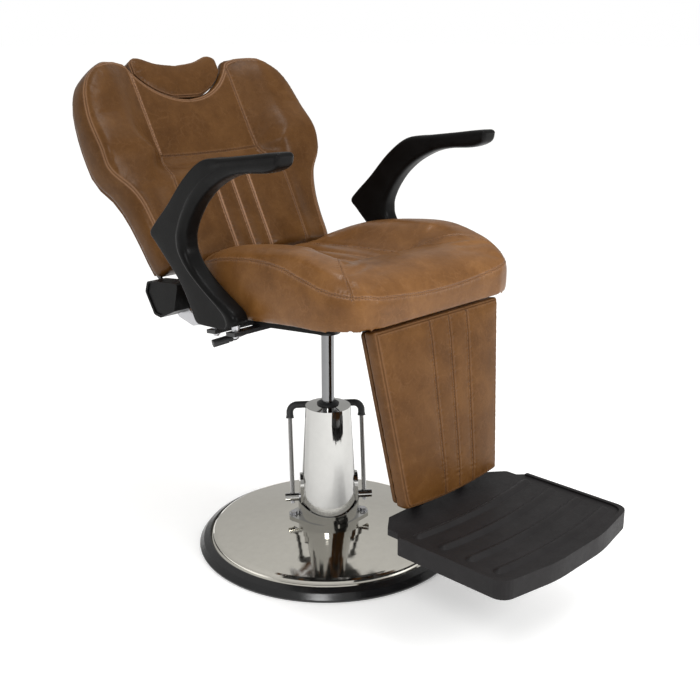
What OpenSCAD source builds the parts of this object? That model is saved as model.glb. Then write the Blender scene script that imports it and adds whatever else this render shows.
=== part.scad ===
// Hydraulic barber chair: reclining back, sliding headrest, linked legrest.
// Millimetres, +Z up. The origin is on the floor, on the axis of the lift column.
// The sitter faces -Y and the sitter's right hand is at -X.

/* [Base] */
// Radius of the chromed base dome
dome_r = 286.5; // [260:1:320]
// Height of the dome's flat top
dome_top_z = 61; // [48:1:64]
// Height of the dome's outer edge
dome_edge_z = 20; // [16:1:26]
// Sheet thickness of the dome
dome_wall = 2; // [1:0.5:3]
// Radius of the dome's flat top
dome_flat_r = 104; // [98:1:130]
// Height of the shoulder where the dome turns down to its edge
dome_shoulder_z = 37; // [34:1:44]
// How far the rubber ring stands out past the dome
ring_out = 27.5; // [16:0.5:34]
// Height of the rubber ring
ring_h = 27; // [22:1:34]
// Thickness of the ballast disc
ballast_h = 8; // [6:1:14]
// Turn of the base and pump under the seat
base_yaw = -39; // [-180:1:180]

/* [Pump column] */
// Radius of the pump body
pump_r = 42; // [38:0.5:44]
// Radius of the main bore in the pump body
pump_bore_r = 20; // [18:0.5:22]
// Height of the floor of the main bore
bore_floor_z = 124; // [122:1:128]
// Height of the gland nut's underside
gland_z = 312; // [300:1:316]
// Thickness of the gland nut
gland_h = 20; // [14:1:24]
// Outer radius of the oil tank round the pump body
tank_r = 49; // [46:0.5:50]
// Wall of the oil tank
tank_wall = 3; // [2:0.5:4]
// Radius of the column cover at its top
cover_top_r = 53.5; // [52:0.5:58]
// Radius of the column cover at the lever axis
cover_low_r = 67.5; // [64:0.5:72]
// Height of the column cover's top rim
cover_top_z = 343; // [338:1:352]
// Sheet thickness of the column cover
cover_wall = 1.5; // [1:0.25:2.5]
// Height of the front of the cover's lower edge
cover_low_z = 86; // [80:1:92]
// How far the cover bulges at the lever bosses
boss_out = 4; // [2:0.5:8]
// Outer radius of the collar round the foot of the cover
collar_r = 73.5; // [72:0.5:78]
// Wall of the collar
collar_wall = 3; // [2:0.5:4]
// Thickness of the flange on the dome
flange_h = 5; // [4:0.5:7]
// Distance of each flange bolt from the column axis
flange_bolt_x = 84; // [82:0.5:92]
// Bore radius of the flange bolts
flange_bolt_r = 5; // [4:0.5:6]

/* [Lift] */
// Radius of the lift piston
piston_r = 15; // [13:0.5:17]
// Height of the piston's lower end with the chair raised
piston_low_z = 277; // [276:1:290]
// Height of the piston's top end with the chair raised
piston_top_z = 553; // [545:1:555]
// Running clearance on a radius
run_gap = 0.05; // [0.02:0.01:0.1]
// Gap between pieces that lie beside each other
seat_gap = 0.3; // [0.2:0.05:0.5]

/* [Pump lever] */
// Height of the lever axis
lever_z = 111; // [108:0.5:114]
// Radius of the lever shaft
lever_shaft_r = 8; // [6:0.5:9]
// Distance of each lever rod from the column axis
lever_rod_x = 87; // [84:0.5:96]
// Radius of the lever rods
lever_rod_r = 5.5; // [4:0.25:7]
// Outer end of each lever hub
lever_end_x = 105; // [100:0.5:115]
// Outer radius of the lever hubs
lever_hub_r = 10; // [9.5:0.25:12]
// Length of the lever from its axis to its cross bar
lever_len = 222; // [200:1:226]
// Lean of the lever behind the column
lever_lean = 17; // [16:0.5:20]
// Wall of the rubber sleeve on the lever
sleeve_wall = 2.8; // [2:0.1:4]
// Bend radius of the lever bar
lever_bend_r = 18; // [16:1:30]

/* [Seat frame] */
// Slope of the seat, front edge up
seat_pitch = 5.8; // [4:0.1:7]
// Height of the seat cushion's underside above the origin
seat_low_z = 606; // [604:0.5:608]
// Thickness of the seat board
board_h = 12; // [9:0.5:12]
// Height of the frame rails
rail_h = 25; // [22:0.5:26]
// Width of the frame rails
rail_w = 40; // [30:1:44]
// Distance of each rail's middle from the middle plane
rail_x = 90; // [88:1:94]
// Wall of the frame tubes
tube_wall = 2; // [1.5:0.25:3]
// Radius of the hub on the piston
hub_r = 30; // [26:0.5:34]
// Height of the hub's underside
hub_low_z = 522; // [515:0.5:526]
// Height of the mount plate's top
mount_top_z = 561; // [559:0.5:562]
// Thickness of the mount plate
mount_h = 6; // [5:0.5:7]

/* [Seat cushion] */
// Width of the seat cushion
seat_w = 562; // [540:1:566]
// Front of the seat cushion
seat_front_y = -342; // [-346:1:-340]
// Rear of the seat cushion
seat_rear_y = 228; // [220:1:229]
// Height of the side bolsters' crest
bolster_z = 769; // [750:1:780]
// Height of the front roll's crest
roll_z = 737; // [725:1:745]
// Height of the fluted insert behind the roll
insert_z = 713; // [705:1:720]
// Depth of the sewn channels
channel_d = 6; // [3:0.5:8]
// Distance from one sewn channel to the next
channel_step = 53; // [45:1:60]

/* [Backrest] */
// Rake of the backrest from upright
back_rake = 29.5; // [26:0.5:32]
// Half width of the backrest at its widest
back_wide = 333; // [320:1:338]
// Half width of the backrest at its waist
back_waist = 270; // [262:1:276]
// Height of the backrest's bottom edge along its face
back_low_t = -281; // [-283:1:-278]
// Height of the backrest's top edge along its face
back_top_t = 247; // [240:1:250]
// How far the wings and the lumbar roll stand forward
wing_d = 42; // [34:1:44]
// Depth of the backrest foam behind its face
back_foam_y = 34; // [30:0.5:36]
// Thickness of the rear panel
back_panel_h = 12; // [10:0.5:14]
// Radius of the notch for the headrest
notch_r = 166; // [160:1:168]
// Height of the notch's lowest point
notch_low_t = 147; // [143:1:149]

/* [Headrest] */
// Half width of the headrest
head_w = 132; // [126:1:134]
// Height of the headrest's lowest edge
head_low_t = 160; // [158:1:164]
// Depth of the headrest's middle behind the backrest's face
head_y = 29; // [28:0.5:36]
// Half thickness of the headrest
head_half = 24; // [20:0.5:26]
// Width of the headrest bar
head_bar_w = 50; // [40:1:56]
// Thickness of the headrest bar
head_bar_h = 4; // [3:0.5:4]
// Travel of the headrest
head_travel = 100; // [60:1:110]

/* [Recline hinge] */
// Distance of the hinge behind the column axis
hinge_y = 250; // [249:0.5:252]
// Height of the hinge
hinge_z = 608; // [607:0.5:609]
// Radius of the hinge shaft
hinge_shaft_r = 10; // [9:0.5:11]
// Distance of each hinge plate inside the seat's side
hinge_inset = 59; // [56:0.5:62]
// Thickness of the hinge plates
hinge_plate_h = 6; // [5:0.5:6]
// Length of the recline and legrest arms
arm_len = 60; // [56:0.5:62]
// Middle of the link rod from the middle plane
link_x = 55; // [50:1:60]
// Radius of the link rod
link_r = 4.5; // [4:0.5:5]

/* [Armrests] */
// Gap between the seat cushion and each armrest
arm_gap = 5.6; // [4:0.1:9]
// Thickness of the armrests
arm_w = 48; // [42:0.5:49]
// Bevel along the armrests' edges
arm_bevel = 8; // [5:0.5:10]

/* [Legrest] */
// Slant of the legrest
leg_slant = 7.7; // [6:0.1:9]
// Height of the legrest's top edge
leg_top_z = 630.3; // [628:0.1:631]
// Front of the legrest's top edge
leg_top_y = -337.6; // [-340:0.1:-336]
// Length of the legrest pad
leg_len = 380; // [370:1:384]
// Half width of the legrest at its top
leg_top_w = 199; // [185:0.5:205]
// Half width of the legrest at its bottom
leg_low_w = 150; // [136:0.5:160]
// Thickness of the legrest pad
leg_pad_h = 38; // [34:0.5:40]
// Thickness of the legrest board
leg_board_h = 8.5; // [8:0.5:9]
// Distance of the legrest pivot behind the pad's face
leg_pivot_back = 58.5; // [58:0.1:60]
// Distance of the legrest pivot below the pad's top
leg_pivot_down = 48; // [46:0.1:50]

/* [Footplate] */
// Gap between the legrest pad's lowest edge and the footplate's top
foot_gap = 14.8; // [13:0.1:18]
// Thickness of the footplate
foot_h = 40; // [34:0.5:41]
// Half width of the footplate
foot_w = 219; // [206:1:225]
// Rear edge of the footplate
foot_rear_y = -341; // [-346:0.5:-339]
// Front edge of the footplate at its middle
foot_front_y = -702; // [-712:1:-690]
// Wall of the footplate
foot_wall = 5; // [4:0.5:6]
// Height of the tread ribs
tread_h = 4; // [2:0.5:5]
// Number of tread ribs
tread_count = 4; // [2:1:4]

/* [Recline lever] */
// Distance of the lever pivot from the middle plane
handle_pivot_x = 128; // [126:0.5:132]
// Radius of the lever rod
handle_rod_r = 4; // [3:0.25:4.5]
// Radius of the ribbed grip
grip_r = 8.5; // [7:0.25:10]

/* [Hidden] */
$fn = 48;
eps = 0.01;

chrome = [0.82, 0.83, 0.84];
steel = [0.55, 0.56, 0.58];
frame_black = [0.12, 0.12, 0.13];
rubber = [0.08, 0.08, 0.08];
plastic = [0.18, 0.17, 0.18];
leather = [0.47, 0.31, 0.19];
brass = [0.78, 0.66, 0.35];

// ---- Small helpers -------------------------------------------------------

function unit(v) = v / norm(v);

// Points of one rounded corner of an outline
function corner(a, p, b, r, n) =
    let (u = unit(a - p))
    let (v = unit(b - p))
    let (half = acos(u * v) / 2)
    let (c = p + unit(u + v) * r / sin(half))
    let (s = p + u * r / tan(half) - c)
    let (e = p + v * r / tan(half) - c)
    let (a0 = atan2(s[1], s[0]))
    let (turn = (atan2(e[1], e[0]) - a0 + 900) % 360 - 180)
    [for (k = [0:n]) c + r * [cos(a0 + turn * k / n), sin(a0 + turn * k / n)]];

// Outline from corners given as [x, y, radius]
function rounded(pts, n = 6) =
    let (m = len(pts))
    let (at = function(i) [pts[(i + m) % m][0], pts[(i + m) % m][1]])
    [for (i = [0:m - 1]) each (pts[i][2] > 0
        ? corner(at(i - 1), at(i), at(i + 1), pts[i][2], n)
        : [at(i)])];

function smooth(x) = let (c = min(1, max(0, x))) c * c * (3 - 2 * c);

// Smooth curve through [at, value] pairs in rising order
function curve(x, table) =
    let (n = len(table))
    let (hits = [for (i = [0:n - 2]) if (x >= table[i][0] && x <= table[i + 1][0]) i])
    x <= table[0][0] ? table[0][1]
    : x >= table[n - 1][0] ? table[n - 1][1]
    : let (i = hits[0])
      let (p0 = table[max(0, i - 1)])
      let (p1 = table[i])
      let (p2 = table[i + 1])
      let (p3 = table[min(n - 1, i + 2)])
      let (w = p2[0] - p1[0])
      let (u = (x - p1[0]) / w)
      let (m1 = (p2[1] - p0[1]) / (p2[0] - p0[0]) * w)
      let (m2 = (p3[1] - p1[1]) / (p3[0] - p1[0]) * w)
      (2 * u * u * u - 3 * u * u + 1) * p1[1] + (u * u * u - 2 * u * u + u) * m1
      + (3 * u * u - 2 * u * u * u) * p2[1] + (u * u * u - u * u) * m2;

// Closed soft form between a front and a rear surface, each a function of column and row
module padded(columns, rows, front, rear) {
    cols = len(columns);
    rws = len(rows);
    size = cols * rws;
    points = concat(
        [for (r = rows) for (s = columns) front(s, r)],
        [for (r = rows) for (s = columns) rear(s, r)]);
    at = function(i, j) j * cols + i;
    rim = concat(
        [for (i = [0:cols - 2]) at(i, 0)],
        [for (j = [0:rws - 2]) at(cols - 1, j)],
        [for (i = [cols - 1:-1:1]) at(i, rws - 1)],
        [for (j = [rws - 1:-1:1]) at(0, j)]);
    sheet = [for (j = [0:rws - 2]) for (i = [0:cols - 2])
        each [[at(i, j), at(i, j + 1), at(i + 1, j)], [at(i + 1, j), at(i, j + 1), at(i + 1, j + 1)]]];
    side = [for (k = [0:len(rim) - 1])
        let (a = rim[k])
        let (b = rim[(k + 1) % len(rim)])
        each [[a, b, a + size], [b, b + size, a + size]]];
    back = [for (f = sheet) [f[0] + size, f[2] + size, f[1] + size]];
    polyhedron(points = points, faces = concat(sheet, side, back), convexity = 8);
}

// Rises from 0 at an edge to 1 at the distance round, as a quarter circle does
function crown(edge, round) =
    let (u = 1 - min(1, max(0, edge / round)))
    sqrt(max(0, 1 - u * u));

// Cylinder along X from x0 to x1
module rod_x(x0, x1, r) {
    translate([x0, 0, 0]) rotate([0, 90, 0]) cylinder(r = r, h = x1 - x0);
}

// Plate that lies square to X, from x0 to x1, with its outline given in Y and Z
module plate_x(x0, x1, outline) {
    translate([x0, 0, 0]) rotate([90, 0, 90]) linear_extrude(x1 - x0) polygon(outline);
}

// Cylinder from point a to point b
module bar(a, b, r) {
    d = b - a;
    translate(a) rotate([0, acos(d[2] / norm(d)), atan2(d[1], d[0])]) cylinder(r = r, h = norm(d));
}

// Hex head with its washer, standing on z = 0
module hex_head(r, h) {
    washer_h = 1.5;
    cylinder(r = r * 1.35, h = washer_h);
    translate([0, 0, washer_h]) cylinder(r = r, h = h, $fn = 6);
}

module mirrored(side) {
    if (side < 0) mirror([1, 0, 0]) children();
    else children();
}

// ---- Places --------------------------------------------------------------

hinge_plate_x = seat_w / 2 - hinge_inset;
arm_x = seat_w / 2 + arm_gap + arm_w / 2;
leg_bow_h = 9;
foot_top_z = leg_top_z - (leg_len + leg_bow_h) * cos(leg_slant) - foot_gap;

module at_base() { rotate([0, 0, base_yaw]) children(); }

module at_seat() { translate([0, 0, seat_low_z]) rotate([-seat_pitch, 0, 0]) children(); }

// The backrest's own frame: X across, Y rearward, Z up along its face
back_face_y = 407.7;
back_face_z = 901.1;
module at_back() { translate([0, back_face_y, back_face_z]) rotate([-back_rake, 0, 0]) children(); }

// The legrest's own frame: X across, Y rearward from the pad's face, Z up from its top edge
module at_leg() { translate([0, leg_top_y, leg_top_z]) rotate([-leg_slant, 0, 0]) children(); }

// Height of the seat's underside at a place along Y
function seat_low(y) = seat_low_z - y * tan(seat_pitch);

// Hinge place in the backrest's frame
hinge_back = let (dy = hinge_y - back_face_y) let (dz = hinge_z - back_face_z)
    [dy * cos(back_rake) - dz * sin(back_rake), dy * sin(back_rake) + dz * cos(back_rake)];

// Legrest pivot in the chair's frame
leg_pivot_y = leg_top_y + leg_pivot_back * cos(leg_slant) - leg_pivot_down * sin(leg_slant);
leg_pivot_z = leg_top_z - leg_pivot_back * sin(leg_slant) - leg_pivot_down * cos(leg_slant);

// Recline swings through this angle, and the arms below the pivots swing half of it each way
recline_max = 45;
arm_start = recline_max / 2;
eye_dy = arm_len * sin(arm_start);
eye_dz = -arm_len * cos(arm_start);

// ---- Base ----------------------------------------------------------------

dome_lip_w = 5;
dome_lip_h = 6;
shoulder_w = 21;

// Place on the shoulder: 90 is at the lip
function shoulder(angle) = let (foot = dome_edge_z + dome_lip_h)
    [dome_r - dome_lip_w - shoulder_w * (1 - sin(angle)), foot + (dome_shoulder_z - foot) * cos(angle)];

dome_slope_r = shoulder(18)[0];

function dome_z(r) = let (u = (r - dome_flat_r) / (dome_slope_r - dome_flat_r))
    dome_top_z - (dome_top_z - shoulder(18)[1]) * pow(u, 1.2);

dome_steps = 7;
dome_curve = concat(
    [for (k = [0:dome_steps]) let (r = dome_flat_r + (dome_slope_r - dome_flat_r) * k / dome_steps) [r, dome_z(r)]],
    [for (angle = [36:18:90]) shoulder(angle)]);
pump_hole_r = pump_r + 1;

module base_plate() {
    lip = [[dome_r - 4, dome_edge_z + 5.5], [dome_r, dome_edge_z + 2], [dome_r, dome_edge_z - 4]];
    top = concat([[pump_hole_r, dome_top_z]], dome_curve, lip);
    under = [for (k = [len(top) - 1:-1:0])
        [top[k][0] - (top[k][0] > dome_slope_r + 1 ? dome_wall : 0), top[k][1] - (top[k][0] > dome_r - 1 ? 0 : dome_wall)]];
    color(chrome) at_base() difference() {
        rotate_extrude($fn = 96) polygon(concat(top, under));
        for (x = [-flange_bolt_x, flange_bolt_x])
            translate([x, 0, 0]) cylinder(r = flange_bolt_r + run_gap * 4, h = dome_top_z * 2);
    }
}

ring_foot_r = dome_r - 14;

module base_ring() {
    inner = dome_r + run_gap * 4;
    outer = dome_r + ring_out;
    foot = ring_foot_r;
    shelf = dome_edge_z - 4.2;
    profile = rounded([[foot, 0, 0], [outer - 3, 0, 2], [outer, 5, 3], [outer - 11, ring_h - 9, 8],
        [inner, ring_h, 2], [inner, shelf, 0], [foot, shelf, 0]], 4);
    color(rubber) rotate_extrude($fn = 96) polygon(profile);
}

boss_r = 96;

// Cast disc on the floor inside the ring, with the boss that carries the pump
module base_ballast() {
    color(frame_black) at_base() difference() {
        union() {
            cylinder(r = ring_foot_r - 1, h = ballast_h, $fn = 96);
            cylinder(r = boss_r, h = dome_top_z - dome_wall);
            for (a = [0:45:315]) rotate([0, 0, a]) translate([boss_r - 6, -4, 0]) cube([120, 8, ballast_h + 10]);
        }
        for (x = [-flange_bolt_x, flange_bolt_x])
            translate([x, 0, dome_top_z - 40]) cylinder(r = flange_bolt_r + run_gap, h = 60);
        translate([0, 0, dome_top_z - 24]) cylinder(r = pump_r + run_gap, h = 40);
    }
}

// ---- Pump ----------------------------------------------------------------

flange_top_z = dome_top_z + flange_h;

// Long cutter with a level axis along Y: it gives the cover's foot its arched edge
arch_r = 142;
module arch(r) {
    translate([0, 0, cover_low_z + arch_r]) rotate([90, 0, 0]) cylinder(r = r, h = 400, center = true, $fn = 96);
}

module shaft_slot() {
    translate([0, 0, lever_z]) rod_x(-130, 130, lever_hub_r + 1);
}

module pump_flange() {
    lug_r = 12;
    lug_x = flange_bolt_x + lug_r;
    plate = rounded([[-lug_x, -lug_r, lug_r - 1], [-36, -72, 40], [36, -72, 40], [lug_x, -lug_r, lug_r - 1],
        [lug_x, lug_r, lug_r - 1], [36, 72, 40], [-36, 72, 40], [-lug_x, lug_r, lug_r - 1]]);
    color(chrome) at_base() difference() {
        union() {
            translate([0, 0, dome_top_z]) linear_extrude(flange_h) polygon(plate);
            translate([0, 0, dome_top_z]) cylinder(r = collar_r, h = 50);
        }
        translate([0, 0, flange_top_z]) cylinder(r = collar_r - collar_wall, h = 60);
        translate([0, 0, dome_top_z - 1]) cylinder(r = pump_r + run_gap, h = 30);
        arch(arch_r + 0.6);
        shaft_slot();
        for (x = [-flange_bolt_x, flange_bolt_x])
            translate([x, 0, dome_top_z - 1]) cylinder(r = flange_bolt_r + run_gap * 4, h = 30);
    }
}

module flange_bolts() {
    color(steel) at_base() for (x = [-flange_bolt_x, flange_bolt_x]) translate([x, 0, 0]) {
        translate([0, 0, dome_top_z - 38]) cylinder(r = flange_bolt_r, h = 39 + flange_h);
        translate([0, 0, flange_top_z + run_gap]) hex_head(8, 6);
    }
}

plunger_y = 15;
plunger_r = 5;
plunger_low_z = 74;
cam_r = 16;
cam_end_r = 6;
cam_lift = 14;
plunger_top_z = lever_z + cam_r * sin(cam_lift) - cam_end_r - seat_gap;

module pump_body() {
    color(steel) at_base() difference() {
        translate([0, 0, dome_top_z - 22]) cylinder(r = pump_r, h = gland_z - dome_top_z + 22);
        translate([0, 0, bore_floor_z]) cylinder(r = pump_bore_r, h = gland_z);
        translate([0, 0, lever_z]) rod_x(-60, 60, lever_shaft_r + run_gap);
        translate([-8.5, -9, 90]) cube([17, 34, 31.5]);
        translate([0, plunger_y, 56]) cylinder(r = plunger_r + run_gap, h = 40);
    }
}

module oil_tank() {
    tank_low_z = 128;
    color(steel) at_base() difference() {
        translate([0, 0, tank_low_z]) cylinder(r = tank_r, h = gland_z - 4 - tank_low_z);
        translate([0, 0, tank_low_z + 4]) cylinder(r = tank_r - tank_wall, h = gland_z - 12 - tank_low_z);
        translate([0, 0, tank_low_z - 1]) cylinder(r = pump_r + run_gap, h = 300);
    }
}

module gland_nut() {
    color(brass) at_base() difference() {
        union() {
            translate([0, 0, gland_z]) cylinder(r = pump_r, h = gland_h);
            translate([0, 0, gland_z + gland_h]) cylinder(r = 24, h = cover_top_z - gland_z - gland_h + 3, $fn = 48);
        }
        translate([0, 0, gland_z - 1]) cylinder(r = piston_r + run_gap, h = 60);
    }
}

cover_slope = (cover_low_r - cover_top_r) / (cover_top_z - lever_z);
function cover_r(z) = cover_top_r + (cover_top_z - z) * cover_slope;
cover_hole_r = 24.3;
cover_dish = 4;

module cover_skin(inset) {
    rotate_extrude($fn = 96) polygon([
        [0, 60 - inset], [cover_r(60) - inset, 60 - inset], [cover_top_r - inset, cover_top_z - inset],
        [cover_hole_r, cover_top_z + cover_dish - inset], [0, cover_top_z + cover_dish - inset]]);
    boss_z = 148;
    boss_r = 24;
    for (s = [-1, 1]) mirrored(s) {
        translate([0, 0, boss_z]) rod_x(0, cover_r(boss_z) + boss_out - inset, boss_r - inset);
        translate([0, inset - boss_r, 60 - inset])
            cube([cover_r(boss_z) + boss_out - inset, 2 * (boss_r - inset), boss_z - 60 + inset]);
    }
}

module column_cover() {
    color(chrome) at_base() intersection() {
        difference() {
            cover_skin(0);
            cover_skin(cover_wall);
            cylinder(r = cover_hole_r, h = 500);
            shaft_slot();
        }
        arch(arch_r);
    }
}

module wiper_ring() {
    wiper_z = cover_top_z + cover_dish + run_gap;
    color(rubber) at_base() translate([0, 0, wiper_z]) rotate_extrude() polygon([
        [piston_r + run_gap, 0], [26, 0], [26, 3], [21, 6], [piston_r + run_gap, 7]]);
}

// ---- Pump lever ----------------------------------------------------------

module at_lever() { at_base() translate([0, 0, lever_z]) rotate([-lever_lean, 0, 0]) children(); }

module lever_shaft() {
    color(steel) at_lever() rod_x(-lever_end_x + 4, lever_end_x - 4, lever_shaft_r);
}

module lever_hubs() {
    hub_in_x = cover_r(lever_z) + boss_out + 0.6;
    color(chrome) at_lever() for (s = [-1, 1]) mirrored(s) difference() {
        rod_x(hub_in_x, lever_end_x, lever_hub_r);
        rod_x(hub_in_x - 1, lever_end_x - 4 + run_gap, lever_shaft_r + run_gap);
        translate([lever_rod_x, 0, lever_shaft_r]) cylinder(r = lever_rod_r + run_gap, h = 10);
        translate([lever_rod_x, 0, -20]) cylinder(r = 2.5 + run_gap, h = 20 - lever_shaft_r);
    }
}

// Centre line of the U-shaped bar, filled at radius r, from a height up each leg
module lever_path(r, from_z) {
    for (s = [-1, 1]) mirrored(s) {
        translate([lever_rod_x, 0, from_z]) cylinder(r = r, h = lever_len - lever_bend_r - from_z);
        translate([lever_rod_x - lever_bend_r, 0, lever_len - lever_bend_r]) rotate([90, 0, 0])
            rotate_extrude(angle = 90) translate([lever_bend_r, 0]) circle(r = r);
    }
    translate([0, 0, lever_len]) rod_x(lever_bend_r - lever_rod_x, lever_rod_x - lever_bend_r, r);
}

module lever_bar() {
    color(chrome) at_lever() lever_path(lever_rod_r, lever_shaft_r + 0.5);
}

sleeve_low = lever_len - 32;

module lever_sleeve() {
    sleeve_r = lever_rod_r + sleeve_wall;
    color(rubber) at_lever() difference() {
        union() {
            lever_path(sleeve_r, sleeve_low);
            for (s = [-1, 1]) translate([s * lever_rod_x, 0, sleeve_low]) cylinder(r1 = sleeve_r + 1.6, r2 = sleeve_r - eps, h = 9);
        }
        lever_path(lever_rod_r + run_gap, 100);
    }
}

module lever_screws() {
    color(steel) at_lever() for (s = [-1, 1]) translate([s * lever_rod_x, 0, 0]) {
        translate([0, 0, -lever_hub_r]) cylinder(r = 2.5, h = lever_hub_r - lever_shaft_r - run_gap);
        translate([0, 0, -lever_hub_r - 5]) cylinder(r = 4.5, h = 5, $fn = 6);
    }
}

// Finger on the shaft that presses the plunger down
module lever_cam() {
    color(steel) at_base() translate([0, 0, lever_z]) rotate([cam_lift, 0, 0]) difference() {
        union() {
            translate([-6, 0, -4.5]) cube([12, cam_r, 9]);
            translate([0, cam_r, 0]) rod_x(-6, 6, cam_end_r);
        }
        rod_x(-10, 10, lever_shaft_r + run_gap);
    }
}

module pump_plunger() {
    color(steel) at_base() translate([0, plunger_y, plunger_low_z])
        cylinder(r = plunger_r, h = plunger_top_z - plunger_low_z);
}

// ---- Lift ----------------------------------------------------------------

head_h = 18;

module piston_rod() {
    color(chrome) difference() {
        union() {
            translate([0, 0, piston_low_z]) cylinder(r = piston_r - 4, h = head_h);
            translate([0, 0, piston_low_z + head_h]) cylinder(r = piston_r, h = piston_top_z - piston_low_z - head_h);
        }
    }
}

module piston_head() {
    color(steel) difference() {
        translate([0, 0, piston_low_z]) cylinder(r = pump_bore_r - run_gap, h = head_h);
        translate([0, 0, piston_low_z - 1]) cylinder(r = piston_r - 4 + run_gap, h = head_h + 2);
        translate([0, 0, piston_low_z + 5]) rotate_extrude() translate([pump_bore_r - 3, 0]) square([6, 6]);
    }
}

module piston_seal() {
    color(rubber) translate([0, 0, piston_low_z + 5.2]) rotate_extrude()
        translate([pump_bore_r - 2.8, 0]) square([2.8 - run_gap, 5.6]);
}

// ---- Seat frame ----------------------------------------------------------

mount_half = 70;
rail_in = rail_x - rail_w / 2;
rail_out = rail_x + rail_w / 2;
rail_top = -board_h - seat_gap;
rail_low = rail_top - rail_h;
rail_front = -210;
cross_w = 25;
cross_rear_y = 180;

module seat_mount() {
    bolt_xy = mount_bolt;
    color(frame_black) difference() {
        union() {
            translate([0, 0, hub_low_z]) cylinder(r = hub_r, h = mount_top_z - hub_low_z);
            translate([0, 0, mount_top_z - mount_h]) linear_extrude(mount_h) polygon(rounded([
                [-rail_out + 10, -mount_half, 30], [rail_out - 10, -mount_half, 30],
                [rail_out - 10, mount_half, 30], [-rail_out + 10, mount_half, 30]]));
            intersection() {
                for (s = [-1, 1]) translate([s * rail_x - 14, -45, mount_top_z - 1]) cube([6, 90, 60]);
                at_seat() translate([-200, -200, rail_low - 100]) cube([400, 400, 100]);
            }
        }
        translate([0, 0, hub_low_z - 1]) cylinder(r = piston_r + run_gap, h = piston_top_z + 2 + run_gap - hub_low_z + 1);
        for (x = [-1, 1]) for (y = [-1, 1])
            translate([x * bolt_xy[0], y * bolt_xy[1], hub_low_z]) cylinder(r = 4 + run_gap, h = 60);
    }
}

mount_bolt = [rail_x - 4, 32];

module thrust_washer() {
    color(brass) translate([0, 0, piston_top_z + run_gap]) cylinder(r = piston_r - 0.5, h = 2 - run_gap);
}

// Bolts that hold the mount plate up against the rails
module mount_bolts() {
    color(steel) for (x = [-1, 1]) for (y = [-1, 1]) translate([x * mount_bolt[0], y * mount_bolt[1], 0]) {
        translate([0, 0, mount_top_z - mount_h - run_gap - 3]) cylinder(r = 6.5, h = 3);
        translate([0, 0, mount_top_z - mount_h - 1]) cylinder(r = 4, h = seat_low(y * mount_bolt[1]) + rail_low + 8 - mount_top_z + mount_h);
    }
}

// Square tube in the seat frame, open at both ends
module tube_y(x, y0, y1) {
    translate([x, y0, rail_low]) difference() {
        cube([rail_w, y1 - y0, rail_h]);
        translate([tube_wall, -1, tube_wall]) cube([rail_w - 2 * tube_wall, y1 - y0 + 2, rail_h - 2 * tube_wall]);
    }
}

// Welded frame: two rails, the front cross tube and the rear cross bar
module seat_frame() {
    bar_h = 11;
    color(frame_black) difference() {
        at_seat() {
            for (x = [rail_in, -rail_out]) tube_y(x, rail_front, cross_rear_y + eps);
            translate([-rail_out, rail_front - cross_w, rail_low]) difference() {
                cube([2 * rail_out, cross_w + eps, rail_h]);
                translate([-1, tube_wall, tube_wall])
                    cube([2 * rail_out + 2, cross_w - 2 * tube_wall, rail_h - 2 * tube_wall]);
            }
            translate([-hinge_plate_x, cross_rear_y, rail_top - bar_h]) cube([2 * hinge_plate_x, cross_w, bar_h]);
        }
        for (x = [-1, 1]) for (y = [-1, 1])
            translate([x * mount_bolt[0], y * mount_bolt[1], hub_low_z])
                cylinder(r = 4 + run_gap, h = seat_low(y * mount_bolt[1]) + rail_low + 12 - hub_low_z);
    }
}

module seat_board() {
    half = seat_w / 2 - 26;
    front = -250;
    rear = 213;
    outline = rounded([[-half, front, 20], [half, front, 20], [half, rear, 116], [-half, rear, 116]], 8);
    color(frame_black) at_seat() translate([0, 0, -board_h]) linear_extrude(board_h - seat_gap) polygon(outline);
}

// Half width of the seat at a place along Y
function seat_half(y) = curve(y, [
    [seat_front_y, seat_w * 0.345], [-332, seat_w * 0.405], [-310, seat_w * 0.448], [-270, seat_w * 0.483],
    [-200, seat_w * 0.498], [-60, seat_w / 2], [90, seat_w * 0.49], [130, seat_w * 0.468],
    [160, seat_w * 0.436], [185, seat_w * 0.4], [205, seat_w * 0.355], [220, seat_w * 0.31], [seat_rear_y, seat_w * 0.27]]);

// Height of the seat's top along its middle
function seat_mid(y) = curve(y, [
    [seat_front_y, roll_z - 12], [-300, roll_z - 3], [-250, roll_z], [-195, roll_z - 6], [-150, insert_z + 9],
    [-118, insert_z], [0, insert_z - 8], [seat_rear_y, insert_z - 26]]);

// Height of the bolsters' crest
function seat_bolster(y) = curve(y, [
    [seat_front_y, roll_z - 22], [-300, roll_z - 4], [-250, bolster_z - 18], [-160, bolster_z],
    [-60, bolster_z - 5], [60, bolster_z - 24], [150, bolster_z - 52], [seat_rear_y, bolster_z - 82]]);

function seat_flute(x, y) = let (u = abs(x) / channel_step) let (f = abs(sin(180 * u)))
    u > 1.5 || y < -150 ? 0 : (f - 1) * channel_d * smooth((-y < 118 ? 1 : (150 + y) / 32));

function seat_top(x, y) =
    let (blend = smooth((abs(x) - 118) / 92))
    seat_mid(y) * (1 - blend) + seat_bolster(y) * blend + seat_flute(x, y) * (1 - blend);

// Height where the seat's side is widest
function seat_side(y) = seat_low(y) + 42;

function seat_edge(x, y) = min(seat_half(y) - abs(x), y - seat_front_y, seat_rear_y - y);

seat_round = 44;
lip_lift = 15;
function seat_under(y) = seat_low(y) + lip_lift * smooth((-y - 262) / 22) * smooth((y - seat_front_y - 2) / 8);

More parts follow.
